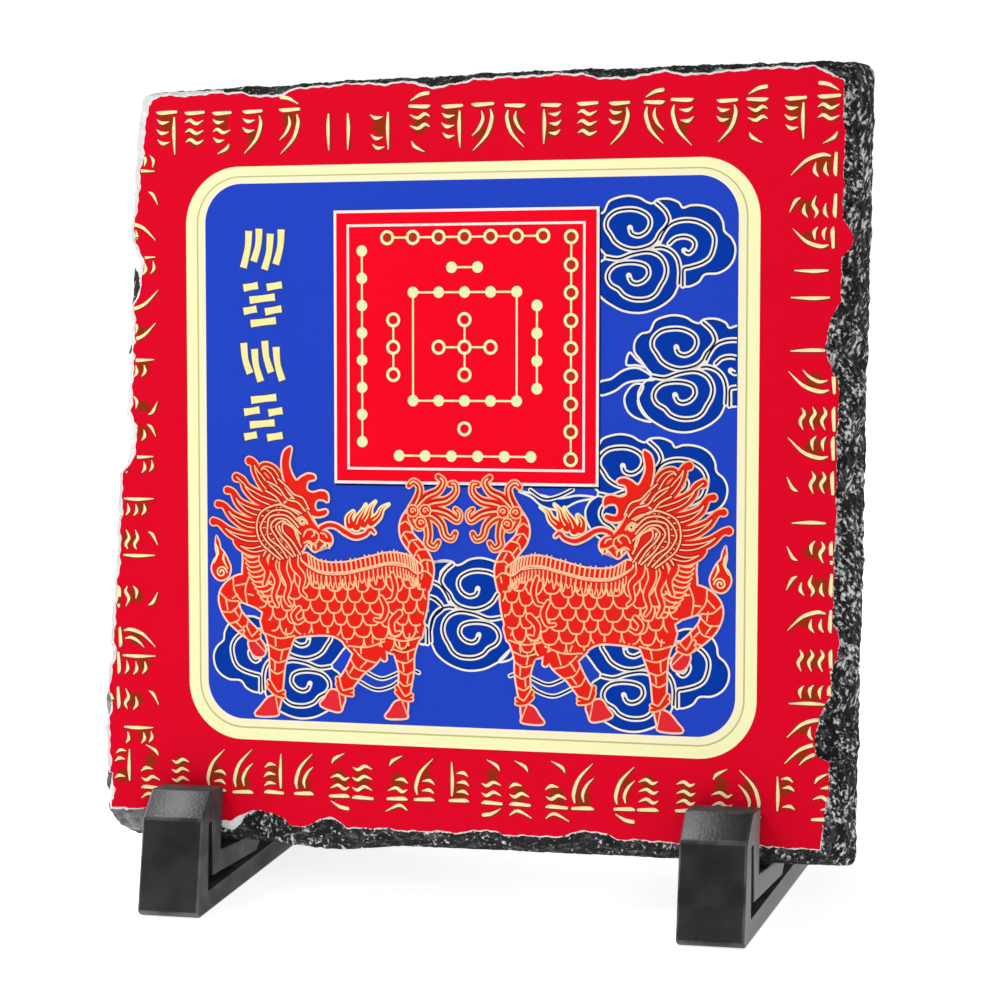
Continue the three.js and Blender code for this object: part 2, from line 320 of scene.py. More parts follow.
# The chips in the printed face: the side, the place along it, the width, the depth and the skew.
# A negative depth is a tongue of printed face that the break has left standing.
CHIPS = [
    ("right", 95.0, 15, 2.6, 0.2),
    ("right", 20.4, 12.5, 2.9, 0.76),
    ("right", 139, 8, 0.5, 0),
    ("right", 115.7, 7, -1.9, 0),
    ("right", 40, 8, -1.2, 0),
    ("left", 112.2, 13.5, 2.8, 0),
    ("left", 95, 34, 1.4, 0),
    ("left", 78, 13, 2.5, 0),
    ("left", 130, 22, 0.4, 0),
    ("left", 137, 9, 0.4, 0),
    ("left", 42, 12, -0.35, 0),
    ("left", 31, 8, -0.8, 0),
    ("left", 26, 6, 0.5, 0),
    ("left", 21, 6, -0.4, 0),
    ("left", 9.2, 9, 0.8, 0),
    ("top", -46, 12, 1.2, 0),
    ("top", 26, 16, 1.1, 0.3),
    ("top", 43, 15, 0.8, 0),
    ("top", -10, 13, 1.3, 0.2),
    ("top", -28, 14, -0.3, 0),
    ("bottom", -41, 13, 2.6, 0),
    ("bottom", -51, 6, 0.6, 0),
    ("bottom", -69, 20, 3, 0),
    ("bottom", -27, 8, 1.7, 0),
    ("bottom", 5, 8, 0.5, 0),
    ("bottom", 26, 12, 1.2, 0),
]
# Chips that the white coat doesn't reach: the side, the place along it and the width.
BARE_CHIPS = [
    ("left", 109.0, 10.5),
    ("left", 97, 2.6),
    ("left", 26, 8.5),
    ("left", 10.8, 5.5),
    ("bottom", -68, 24),
    ("bottom", -37, 17),
]
# How far up the slab the chips of the bottom left corner reach.
LOW_CORNER = 12
# How wide the white coat shows on each side, and at the corners.
COAT_WIDTHS = {"left": 0.7, "top": 0.3, "right": 0.03, "bottom": 0.14, "corner": 0.12}
# Further left of the middle than this, the coat widens to the left side's width and spills over.
COAT_TURN_AT = 71
COAT_TURN_RUN = 3
COAT_SPILL = 1.2
COAT_SPILL_TOP = 148
COAT_SPILL_RUN = 22
# Where the coat runs far over the break: the side, the place along it, the width and the reach.
COAT_FLAKES = [
    ("bottom", -47.6, 7, 2.3),
    ("top", -67, 24, 3.2),
    ("left", 75, 200, 3),
    ("corner", -75, 14, 3.2),
]
# How hard the trimming tool struck each side: from 0, a smooth break, to 1.
BRUISING = {"right": 1, "top": 0.55, "bottom": 0.5, "left": 0.35, "corner": 0.8}
# Where it struck otherwise: the side, the place along it, the width and how hard.
BRUISE_SPOTS = [
    ("bottom", -37, 15, 0.9),
    ("bottom", -68, 20, 0),
    ("left", 26, 9, 0),
    ("left", 10.8, 6, 0.1),
]
# The face's corners are cut straight: the corner, and a line that the print keeps within.
FACE_CUTS = [
    ((-75, 150), (-0.9966, 0.0818), 85.5),
    ((-75, 150), (-0.54, 0.84), 164.0),
    ((-75, 0), (-1, 0), 73.5),
    ((-75, 0), (0, -1), -5.2),
    ((75, 150), (0.447, 0.894), 162.2),
    ((75, 150), (1, 0), 71.5),
    ((75, 0), (0.996, -0.092), 70.1),
    ((75, 0), (0, -1), -2.9),
]
FACE_CUT_REACH = 12
FACE_CUT_ROUGHNESS = 0.2
# The top edge stands a little proud, most of all past its middle.
CROWN = 0.4
CROWN_RISE = 0.85
CROWN_AT = 8
CROWN_LEFT = 80
CROWN_RIGHT = 62
CROWN_FOOT = 148
CROWN_RUN = 2
CORNER_FAN = 14
# Where the broken edge swells past a straight one: the side, the place along it, the width, the
# depth, and how soon through the slab it is at its full depth.
SWELLS = [
    ("bottom", -30, 38, 1.3, 1),
    ("left", 26, 10, 1.4, 9),
    ("left", 10.8, 6.5, 0.8, 9),
]

BACK_CELLS = 150
EDGE_POINTS_PER_CELL = 3
EDGE_LEVELS = 22
# The levels crowd towards the printed face by this power.
LEVEL_CROWDING = 1.15
# The reach of the coat where there is none.
NO_COAT = -9
# How near the rim of the face a print is tried against it.
RIM_REACH = 14


class Slab:
    """The slab's outline and planes, in millimetres across, up its face and through it."""

    def __init__(self):
        settings = bpy.context.scene.plaque_slate
        self.width = settings.width / MM
        self.height = settings.height / MM
        self.thickness = settings.thickness / MM
        self.lean = settings.lean
        self.front = settings.front / MM
        self.bottom = settings.bottom / MM
        depth = self.front + self.height * math.sin(self.lean) + self.thickness * math.cos(self.lean)
        self.feet_front = -depth / 2
        half = self.width / 2
        left, right = CORNER_BOTTOM_LEFT, CORNER_BOTTOM_RIGHT
        up_right, up_left = CORNER_TOP_RIGHT, CORNER_TOP_LEFT
        self.sides = [
            ("bottom", self.width - left - right, (left - half, 0), (1, 0), right),
            ("right", self.height - right - up_right, (half, right), (0, 1), up_right),
            ("top", self.width - up_right - up_left, (half - up_right, self.height), (-1, 0), up_left),
            ("left", self.height - up_left - left, (-half, self.height - up_left), (0, -1), left),
        ]
        self.perimeter = sum(side[1] + side[4] * math.pi / 2 for side in self.sides)

    def point(self, u, v, through):
        """A point of the slab in metres, in the part's frame."""
        sine, cosine = math.sin(self.lean), math.cos(self.lean)
        behind = self.feet_front + self.front + v * sine + through * cosine
        return Vector((u * MM, behind * MM, (self.bottom + v * cosine - through * sine) * MM))

    def plane_at_height(self, z, through):
        """How far behind the feet's front a level line meets a plane of the slab."""
        v = (z - self.bottom + through * math.sin(self.lean)) / math.cos(self.lean)
        return self.front + v * math.sin(self.lean) + through * math.cos(self.lean)

    def station(self, distance):
        """The point, outward direction and side of the back outline at a distance along it."""
        rest = distance % self.perimeter
        for side, straight, start, ahead, radius in self.sides:
            outward = (ahead[1], -ahead[0])
            if rest <= straight:
                return start[0] + ahead[0] * rest, start[1] + ahead[1] * rest, outward, side
            rest -= straight
            if rest <= radius * math.pi / 2:
                turn = rest / radius
                radial = [outward[i] * math.cos(turn) + ahead[i] * math.sin(turn) for i in (0, 1)]
                centre = [start[i] + ahead[i] * straight - outward[i] * radius for i in (0, 1)]
                return centre[0] + radial[0] * radius, centre[1] + radial[1] * radius, radial, "corner"
            rest -= radius * math.pi / 2
        return self.station(0)

    def fan(self, u, v):
        """The direction in which the edge is broken back: it fans round a deep corner."""
        half = self.width / 2 - CORNER_FAN
        ahead = (
            u - min(max(u, -half), half),
            v - min(max(v, CORNER_FAN), self.height - CORNER_FAN),
        )
        run = math.hypot(*ahead)
        return ahead[0] / run, ahead[1] / run

    def break_depth(self, u, v, outward, side, distance):
        """How far the printed face stands in from the back outline."""
        depth = (
            BREAK_RIGHT * max(outward[0], 0) ** 2
            + BREAK_LEFT * max(-outward[0], 0) ** 2
            + BREAK_TOP * max(outward[1], 0) ** 2
            + BREAK_BOTTOM * max(-outward[1], 0) ** 2
            + BREAK_ROUGHNESS * roughness(distance, 0.6)
        )
        for chip_side, at, width, chip_depth, skew in CHIPS:
            past = (v if chip_side in ("left", "right") else u) - at
            away = abs(past) / (width / 2 * (1 + math.copysign(skew, past * skew)))
            if chip_side == side and away < 1:
                depth += chip_depth * math.cos(away * math.pi / 2) ** CHIP_CURVE
        ahead = self.fan(u, v)
        for corner, (across, up), limit in FACE_CUTS:
            slope = across * ahead[0] + up * ahead[1]
            if math.dist(corner, (u, v)) < FACE_CUT_REACH and slope > 0.3:
                beyond = (across * u + up * v - limit) / slope + crown(u, v)
                depth = max(depth, beyond + FACE_CUT_ROUGHNESS * roughness(distance, 0.6))
        return max(depth, LEFT_BREAK_LEAST if side == "left" else BREAK_LEAST)

    def break_curve(self, outward):
        """How soon the break reaches the full outline: sooner on the left."""
        return BREAK_CURVE + (LEFT_BREAK_CURVE - BREAK_CURVE) * max(-outward[0], 0) ** 2


def roughness(along, phase):
    """A smooth repeatable roughness between -1 and 1 along the edge, at three sizes of break."""
    coarse = math.sin(along * 0.43 + phase) * math.sin(along * 0.171 + 2.1 * phase)
    middle = math.sin(along * 1.13 + 3.7 * phase)
    fine = math.sin(along * 2.57 + 5.3 * phase)
    return 0.5 * coarse + 0.3 * middle + 0.2 * fine


def spot_distance(u, v, side, at, width):
    """How far a place lies from the middle of a spot on a side: 1 is where the spot ends."""
    return abs((v if side in ("left", "right") else u) - at) / (width / 2)


def near_side(side, spot_side, v):
    """Whether a place is on a spot's side: a spot on the underside takes in the low corner."""
    return side == spot_side or (side == "corner" and spot_side == "bottom" and v < LOW_CORNER)


def swell(u, v, side, through):
    """How far the broken edge swells past a straight one."""
    total = 0
    for swell_side, at, width, depth, soon in SWELLS:
        away = spot_distance(u, v, swell_side, at, width)
        if side == swell_side and away < 1:
            total += depth * math.cos(away * math.pi / 2) ** 2 * min(1, soon * through)
    return total


def edge_distances(slab, count):
    """Distances along the outline, with the same count between the middles of two corners."""
    middles = []
    distance = 0
    for _, straight, _, _, radius in slab.sides:
        distance += straight + radius * math.pi / 4
        middles.append(distance)
        distance += radius * math.pi / 4
    starts = [middles[3] - slab.perimeter, *middles[:3]]
    return [
        start + (end - start) * step / count for start, end in zip(starts, middles) for step in range(count)
    ]


def bare(u, v, side):
    """The share of the white coat that a chip leaves."""
    share = 1
    for bare_side, at, width in BARE_CHIPS:
        away = spot_distance(u, v, bare_side, at, width)
        if near_side(side, bare_side, v) and away < 1:
            share *= 0.1 + 0.9 * away**3
    return share


def coat_width(u, v, side, distance):
    """How far the white coat shows past the print, in millimetres."""
    wave = 0.5 + 0.5 * roughness(distance, 4.4)
    width = COAT_WIDTHS[side]
    turned = min(1, max(0, -u - COAT_TURN_AT) / COAT_TURN_RUN)
    if side == "corner" and v > 75:
        width += (COAT_WIDTHS["left"] - width) * turned
    spill = min(1, max(0, 1 - (COAT_SPILL_TOP - v) / COAT_SPILL_RUN))
    reach = width * (0.6 + wave) + COAT_SPILL * turned * spill
    return reach * bare(u, v, side)


def coat_flake(u, v, side):
    """How much further the white coat runs where a flake of it is left."""
    reach = 0
    for flake_side, at, width, run in COAT_FLAKES:
        away = spot_distance(u, v, flake_side, at, width)
        if away < 1 and flake_side == side:
            reach = run * (1 - away**2)
    return reach * bare(u, v, side)


def bruised(u, v, side, through):
    """How hard the trimming tool struck the stone: not at all where it broke off smooth."""
    force = BRUISING["left"] if side == "corner" and u < 0 else BRUISING[side]
    for spot_side, at, width, share in BRUISE_SPOTS:
        away = spot_distance(u, v, spot_side, at, width)
        if near_side(side, spot_side, v) and away < 1:
            force += (share - force) * min(1, 3 * (1 - away)) * min(1, 2.2 * (1 - through))
    return force


def crown(u, v):
    """How far the natural top edge stands over a straight one."""
    half = CROWN_LEFT if u < CROWN_AT else CROWN_RIGHT
    away = min(abs(u - CROWN_AT) / half, 1)
    risen = min(max((v - CROWN_FOOT) / CROWN_RUN, 0), 1)
    return (CROWN + CROWN_RISE * math.cos(away * math.pi / 2)) * risen


def chipped(d, through, seed):
    """Flake scars on the broken edge: flat steps at the slate's layers, of uneven length."""
    layer = math.floor(through * 6 + 1.3 * noise.noise(Vector((d / 9, seed, 0))))
    step = noise.noise(Vector((d / 7.5, layer * 3.7, seed)))
    small = noise.noise(Vector((d / 1.9, through * 5, seed + 7)))
    tiny = noise.noise(Vector((d / 0.75, through * 13, seed + 3)))
    return 0.62 * max(0, step) + 0.3 * (small + 0.6) + 0.2 * (tiny + 0.5)


def cleft(u, v):
    """How far the natural split of the back lies under its highest parts, in millimetres."""
    wide = noise.noise(Vector((u / 34, v / 21, 2.7)))
    middle = noise.noise(Vector((u / 9, v / 6, 5.1)))
    terrace = math.tanh(7 * noise.noise(Vector((u / 26, v / 17, 8.3))))
    fine = noise.noise(Vector((u / 2.4, v / 1.9, 1.2)))
    return 0.2 * (1 + wide) + 0.09 * (1 + middle) + 0.12 * (1 + terrace) + 0.05 * (1 + fine)


def new_piece(name, points, faces, material):
    """A finished piece from points in metres, which rides with the whole part."""
    mesh = bpy.data.meshes.new(name)
    mesh.from_pydata([tuple(p) for p in points], [], faces)
    mesh.update()
    piece = bpy.data.objects.new(name, mesh)
    bpy.context.scene.collection.objects.link(piece)
    piece.data.materials.append(material)
    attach(piece, "root")
    return piece


def select_only(piece):
    bpy.ops.object.select_all(action="DESELECT")
    piece.select_set(True)
    bpy.context.view_layer.objects.active = piece


def face_outwards(piece):
    select_only(piece)
    bpy.ops.object.mode_set(mode="EDIT")
    bpy.ops.mesh.select_all(action="SELECT")
    bpy.ops.mesh.normals_make_consistent(inside=False)
    bpy.ops.object.mode_set(mode="OBJECT")


class PLAQUE_OT_slate_slab(bpy.types.Operator):
    """Model the slate slab with its broken edges and its naturally split back"""

    bl_idname = "plaque.slate_slab"
    bl_label = "Slate Slab"

    def execute(self, context):
        slab = Slab()
        around = BACK_CELLS * EDGE_POINTS_PER_CELL
        distances = edge_distances(slab, around)
        points, reach, bruises = [], [], []
        for level in range(EDGE_LEVELS):
            through = (level / (EDGE_LEVELS - 1)) ** LEVEL_CROWDING
            rim_places = []
            for d in distances:
                u, v, outward, side = slab.station(d)
                depth = slab.break_depth(u, v, outward, side, d)
                inset = depth * (1 - through) ** slab.break_curve(outward)
                inset -= swell(u, v, side, through) + crown(u, v)
                inset += EDGE_ROUGHNESS * roughness(d, 1.7 + 6.5 * through) * min(1, 3 * through)
                inset += (chipped(d, through, 1.5) - EDGE_MEAN) * min(1, 5 * through) * (1 - 0.4 * through)
                if side == "bottom":
                    inset = max(inset, -0.1 - swell(u, v, side, 1))
                ahead = slab.fan(u, v)
                at = (u - ahead[0] * inset, v - ahead[1] * inset)
                w = through * (slab.thickness - cleft(*at))
                points.append(slab.point(*at, w))
                rim_places.append(at)
                run = math.hypot(depth - crown(u, v) - inset, w) if level else 0
                reach.append(coat_width(u, v, side, d) * 0.9 + coat_flake(u, v, side) - run)
                bruises.append(bruised(u, v, side, through))
        ring = len(distances)
        faces = []
        for level in range(EDGE_LEVELS - 1):
            for i in range(ring):
                j = (i + 1) % ring
                near, far = level * ring, (level + 1) * ring
                faces.append((near + i, near + j, far + j, far + i))
        faces.append(tuple(range(ring)))
        self.split_back(slab, rim_places, points, faces)
        reach += [NO_COAT] * (len(points) - len(reach))
        bruises += [BRUISING["left"]] * (len(points) - len(bruises))
        piece = new_piece(
            "slate_body", points, faces, split_slate_material(context.scene.plaque_slate)
        )
        for name, values in (("coat_reach", reach), ("bruised", bruises)):
            piece.data.attributes.new(name, "FLOAT", "POINT").data.foreach_set("value", values)
        face_outwards(piece)
        bpy.ops.object.shade_smooth_by_angle(angle=math.radians(48))
        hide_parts("slate_slab")
        return {"FINISHED"}

    def split_back(self, slab, flat, points, faces):
        """Fills the back with a grid whose rim is the last ring of the edge."""
        n, per = BACK_CELLS, EDGE_POINTS_PER_CELL
        ring = len(flat)
        last_ring = len(points) - ring
        rim = {}
        for i in range(n):
            rim[(i, 0)] = i * per
            rim[(n, i)] = (n + i) * per
            rim[(n - i, n)] = (2 * n + i) * per
            rim[(0, n - i)] = (3 * n + i) * per
        grid = {cell: last_ring + place for cell, place in rim.items()}
        for i in range(1, n):
            for j in range(1, n):
                s, t = i / n, j / n
                across = [
                    (1 - t) * flat[rim[(i, 0)]][k]
                    + t * flat[rim[(i, n)]][k]
                    + (1 - s) * flat[rim[(0, j)]][k]
                    + s * flat[rim[(n, j)]][k]
                    - (1 - s) * (1 - t) * flat[rim[(0, 0)]][k]
                    - s * (1 - t) * flat[rim[(n, 0)]][k]
                    - (1 - s) * t * flat[rim[(0, n)]][k]
                    - s * t * flat[rim[(n, n)]][k]
                    for k in (0, 1)
                ]
                grid[(i, j)] = len(points)
                points.append(slab.point(*across, slab.thickness - cleft(*across)))
        for i in range(n):
            for j in range(n):
                corners = [(i, j), (i + 1, j), (i + 1, j + 1), (i, j + 1)]
                face = []
                for a, b in zip(corners, corners[1:] + corners[:1]):
                    face.append(grid[a])
                    edge = {a[0], b[0]} in ({0}, {n}) or {a[1], b[1]} in ({0}, {n})
                    if edge:
                        start, end = rim[a], rim[b]
                        step = 1 if (end - start) % ring < ring / 2 else -1
                        face += [last_ring + (start + step * k) % ring for k in range(1, per)]
                faces.append(tuple(face))


# The print's own plane is in millimetres from the middle of its frame. The four corners of the
# frame are at these places on the slab, across and up its face: the sheet was laid a little askew.
FRAME_HALF_WIDTH = 58.5
FRAME_HALF_HEIGHT = 56.8
FRAME_BOTTOM_LEFT = (-56.9, 19.6)
FRAME_BOTTOM_RIGHT = (58.1, 18.6)
FRAME_TOP_RIGHT = (55.9, 131.8)
FRAME_TOP_LEFT = (-63.3, 133.5)


class Press:
    """Lays shapes drawn in the print's own plane on the face of the slab."""

    def __init__(self):
        self.slab = Slab()
        self.settings = bpy.context.scene.plaque_print
        (x0, y0), (x1, y1) = FRAME_BOTTOM_LEFT, FRAME_BOTTOM_RIGHT
        (x2, y2), (x3, y3) = FRAME_TOP_RIGHT, FRAME_TOP_LEFT
        sum_x, sum_y = x0 - x1 + x2 - x3, y0 - y1 + y2 - y3
        right_x, right_y, top_x, top_y = x1 - x2, y1 - y2, x3 - x2, y3 - y2
        spread = right_x * top_y - top_x * right_y
        self.g = (sum_x * top_y - top_x * sum_y) / spread
        self.h = (right_x * sum_y - sum_x * right_y) / spread
        self.across = (x1 - x0 + self.g * x1, x3 - x0 + self.h * x3, x0)
        self.up = (y1 - y0 + self.g * y1, y3 - y0 + self.h * y3, y0)
        self.edge = self.printed_edge()

    def on_face(self, x, y):
        """Where a point of the print lies on the slab's face."""
        s = (x + FRAME_HALF_WIDTH) / (2 * FRAME_HALF_WIDTH)
        t = (y + FRAME_HALF_HEIGHT) / (2 * FRAME_HALF_HEIGHT)
        scale = self.g * s + self.h * t + 1
        u = (self.across[0] * s + self.across[1] * t + self.across[2]) / scale
        v = (self.up[0] * s + self.up[1] * t + self.up[2]) / scale
        return u, v

    def printed_edge(self):
        """The outline of the inked face, a little inside the edge of the white coat."""
        slab = self.slab
        edge = []
        for d in edge_distances(slab, BACK_CELLS * EDGE_POINTS_PER_CELL):
            u, v, outward, side = slab.station(d)
            inset = slab.break_depth(u, v, outward, side, d) + coat_width(u, v, side, d) - crown(u, v)
            ahead = slab.fan(u, v)
            edge.append((u - ahead[0] * inset, v - ahead[1] * inset))
        return edge

    def inside(self, u, v):
        """Whether a place near the rim of the face is inked."""
        count = len(self.edge) // 4
        half = self.slab.width / 2
        rows = {
            "bottom": (v < RIM_REACH, (u + half) / self.slab.width, 0, 1, 1),
            "right": (u > half - RIM_REACH, v / self.slab.height, 1, 0, -1),
            "top": (v > self.slab.height - RIM_REACH, (half - u) / self.slab.width, 2, 1, -1),
            "left": (u < -half + RIM_REACH, 1 - v / self.slab.height, 3, 0, 1),
        }
        for near, share, row, axis, sign in rows.values():
            if not near:
                continue
            place = min(max(int(share * count), 0), count - 1) + row * count
            if sign * ((u, v)[axis] - self.edge[place][axis]) < 0:
                return False
        return True

    def lay(self, ink, name, ink_name, tint, depth=0.06, flat=False):
        """Makes a piece of the shapes of one ink, whose tint deepens in patches by its depth."""
        step = self.settings.step / MM
        points, places = [], []
        used = sorted({number for face in ink.faces for number in face})
        new_number = {number: place for place, number in enumerate(used)}
        faces = [[new_number[number] for number in face] for face in ink.faces]
        for x, y, layer in (ink.points[number] for number in used):
            u, v = (x, y) if flat else self.on_face(x, y)
            places.append((0.5 + u / self.slab.width, v / self.slab.height))
            points.append(self.slab.point(u, v, -layer * step))
        piece = new_piece(name, points, faces, print_ink(ink_name, tint, depth))
        chart = piece.data.uv_layers.new(name="OFBake")
        for loop in piece.data.loops:
            chart.data[loop.index].uv = places[loop.vertex_index]
        return piece


class Ink:
    """Flat shapes of one ink, each at a layer of the print, in the print's millimetres."""

    def __init__(self):
        self.points = []
        self.faces = []
        self.shapes = 0

    def own_height(self, layer):
        """A hair over the shape before it, so that a shape doesn't share a plane with the last few."""
        self.shapes += 1
        return layer + 0.04 * (self.shapes % 13)

    def between(self, outer, inner, layer):
        """The band between two outlines of as many points each."""
        start, count = len(self.points), len(outer)
        self.points += [(x, y, layer) for x, y in outer + inner]
        for i in range(count):
            j = (i + 1) % count
            self.faces.append((start + i, start + j, start + count + j, start + count + i))

    def area(self, outline, layer):
        """A filled shape. Its outline runs against the clock, seen from the front."""
        layer = self.own_height(layer)
        turn = sum(a[0] * b[1] - b[0] * a[1] for a, b in zip(outline, outline[1:] + outline[:1]))
        start = len(self.points)
        self.points += [(x, y, layer) for x, y in (outline if turn > 0 else reversed(outline))]
        self.faces.append(tuple(range(start, len(self.points))))

    def dot(self, x, y, radius, layer, points=20):
        self.area(circle(x, y, radius, points), layer)

    def ring(self, x, y, radius, width, layer):
        self.stroke(circle(x, y, radius - width / 2, 28), width, layer, closed=True, round_ends=False)

    def stroke(self, line, width, layer, closed=False, round_ends=True, keep=None):
        """A band along a line. The width is one number, or one for each point of the line."""
        height = self.own_height(layer)
        widths = width if isinstance(width, (list, tuple)) else [width] * len(line)
        start = len(self.points)
        count = len(line)
        last = None
        for i, (x, y) in enumerate(line):
            before = line[i - 1] if i or closed else line[0]
            after = line[(i + 1) % count] if i < count - 1 or closed else line[-1]
            ahead = heading(before, after)
            half = widths[i] / 2
            pair = [(x + ahead[1] * half, y - ahead[0] * half), (x - ahead[1] * half, y + ahead[0] * half)]
            if last:
                # On the inside of a tight bend the band's edge waits instead of turning back.
                pair = [
                    new if (new[0] - old[0]) * ahead[0] + (new[1] - old[1]) * ahead[1] > 0 else old
                    for old, new in zip(last, pair)
                ]
            last = pair
            self.points += [(*pair[0], height), (*pair[1], height)]
        for i in range(count if closed else count - 1):
            a, b = start + 2 * i, start + 2 * ((i + 1) % count)
            if keep is None or all(keep(*self.points[k][:2]) for k in (a, b, b + 1, a + 1)):
                self.faces.append((a, b, b + 1, a + 1))
        if round_ends and not closed:
            for place in (0, -1):
                if widths[place] > 0.1 and (keep is None or keep(*line[place])):
                    self.dot(*line[place], widths[place] / 2, layer, 12)


def heading(before, after):
    """The direction from one place to another, with a length of 1."""
    right, up = after[0] - before[0], after[1] - before[1]
    run = math.hypot(right, up) or 1
    return right / run, up / run


def spine_and_widths(line):
    return [(x, y) for x, y, _ in line], [width for _, _, width in line]


def circle(x, y, radius, points):
    turns = [2 * math.pi * i / points for i in range(points)]
    return [(x + radius * math.cos(turn), y + radius * math.sin(turn)) for turn in turns]


def eased(p, q, r, s, t):
    """The value at a share t of the way from q to r, on a smooth line through four values."""
    bend, twist = 2 * p - 5 * q + 4 * r - s, 3 * q - p - 3 * r + s
    return 0.5 * (2 * q + (r - p) * t + bend * t**2 + twist * t**3)


def smooth(knots, steps=8, closed=False):
    """A smooth line through knots of any size, such as (x, y) or (x, y, width)."""
    count = len(knots)
    line = []
    for i in range(count if closed else count - 1):
        if closed:
            a, b, c, d = (knots[(i + k) % count] for k in (-1, 0, 1, 2))
        else:
            a, b, c, d = (knots[min(max(i + k, 0), count - 1)] for k in (-1, 0, 1, 2))
        for step in range(steps):
            line.append(tuple(eased(*values, step / steps) for values in zip(a, b, c, d)))
    return line if closed else line + [tuple(knots[-1])]


def grown(outline, amount):
    """A closed outline moved outwards by an amount."""
    turn = sum(a[0] * b[1] - b[0] * a[1] for a, b in zip(outline, outline[1:] + outline[:1]))
    sign = 1 if turn > 0 else -1
    moved = []
    for i, (x, y) in enumerate(outline):
        before, after = outline[i - 1], outline[(i + 1) % len(outline)]
        right, up = after[0] - before[0], after[1] - before[1]
        run = math.hypot(right, up) or 1
        moved.append((x + sign * amount * up / run, y - sign * amount * right / run))
    return moved


def lengthened(line, amount):
    """A line whose two ends are drawn out by an amount."""
    ends = []
    for end, inner in ((line[0], line[1]), (line[-1], line[-2])):
        run = math.dist(end, inner)
        ends.append(tuple(a + (a - b) * amount / run for a, b in zip(end, inner)))
    return [ends[0], *line[1:-1], ends[1]]


def mirrored(knots):
    return [(-knot[0], *knot[1:]) for knot in knots]


def moved(knots, right, up, flip=False):
    """A copy of a motif's line, moved, and turned over left for right first if asked."""
    return [((-knot[0] if flip else knot[0]) + right, knot[1] + up, *knot[2:]) for knot in knots]


# The layers of the print, in ink steps over the face.
LAYER_BORDER = 1
LAYER_SHADE = 2
LAYER_STROKE = 3
LAYER_FRAME = 2
LAYER_CLOUD = 4
LAYER_CLOUD_BAND = 5
LAYER_CLOUD_CORE = 6
LAYER_CHART_EDGE = 7
LAYER_CHART = 8
LAYER_CHART_LINK = 8.5
LAYER_CHART_MARK = 9
LAYER_CHART_FILL = 10
LAYER_BEAST = 9


class PLAQUE_OT_printed_ground(bpy.types.Operator):
    """Lay the red ground of the border over the face, up to the ragged edge of the coat"""

    bl_idname = "plaque.printed_ground"
    bl_label = "Printed Ground"

    def execute(self, context):
        press = Press()
        ground = Ink()
        ground.area(press.edge, LAYER_BORDER)
        press.lay(ground, "border_ground", "border red ink", press.settings.border_red, flat=True)
        return {"FINISHED"}


FRAME_CORNER = 11.5
FRAME_GROOVE_AT = 2.3
FRAME_GROOVE_WIDTH = 0.32
FRAME_WIDTH = 4.15
# The top band of the frame is narrower than the others by this much.
FRAME_TOP_LIFT = 0.8
# How much the corner radius shrinks for each millimetre inwards, and the steps of each corner.
CORNER_SHRINK = 0.9
CORNER_STEPS = 20


def rounded_plate(half_width, half_height, corner, lift):
    """The outline of a plate with rounded corners, against the clock, with its middle lifted."""
    outline = []
    for number, (right, up) in enumerate([(1, 1), (-1, 1), (-1, -1), (1, -1)]):
        for step in range(CORNER_STEPS + 1):
            turn = (number + step / CORNER_STEPS) * math.pi / 2
            x = right * (half_width - corner) + corner * math.cos(turn)
            outline.append((x, lift + up * (half_height - corner) + corner * math.sin(turn)))
    return outline


class PLAQUE_OT_frame_and_panel(bpy.types.Operator):
    """Print the cream frame with its groove, and the blue panel inside it"""

    bl_idname = "plaque.frame_and_panel"
    bl_label = "Frame and Panel"

    def execute(self, context):
        press = Press()
        width, height = FRAME_HALF_WIDTH, FRAME_HALF_HEIGHT

        def plate(inset):
            lift = FRAME_TOP_LIFT / 2 * inset / FRAME_WIDTH
            corner = FRAME_CORNER - inset * CORNER_SHRINK
            return rounded_plate(width - inset, height - inset + lift, corner, lift)

        outer, groove, inner, panel = Ink(), Ink(), Ink(), Ink()
        groove_end = FRAME_GROOVE_AT + FRAME_GROOVE_WIDTH
        outer.between(plate(0), plate(FRAME_GROOVE_AT), LAYER_FRAME)
        groove.between(plate(FRAME_GROOVE_AT), plate(groove_end), LAYER_FRAME)
        inner.between(plate(groove_end), plate(FRAME_WIDTH), LAYER_FRAME)
        panel.area(plate(FRAME_WIDTH), LAYER_FRAME)
        settings = press.settings
        press.lay(outer, "frame_outer_band", "cream ink", settings.cream, 0.03)
        press.lay(groove, "frame_groove", "olive ink", settings.groove, 0.03)
        press.lay(inner, "frame_inner_band", "deep cream ink", settings.cream_deep, 0.03)
        press.lay(panel, "panel_ground", "panel blue ink", settings.panel_blue)
        return {"FINISHED"}


# The number chart: a lattice of dots and rings with this pitch round its middle.
CHART_MIDDLE = (0.1, 21.3)
CHART_PITCH = 5.3
CHART_HALF_WIDTH = 27.1
CHART_HALF_HEIGHT = 26.6
CHART_LINE_AT = 2.75
CHART_RULE = 0.62
CHART_INNER_RULE = 0.48
DOT_RADIUS = 1.1
RING_RADIUS = 1.45
RING_WIDTH = 0.55
RING_MIDDLE_INSET = 0.1
LINK_WIDTH = 0.38
# The dark shadow of the chart on the panel, to the right and down.
CHART_SHADOW = (0.25, -0.35)

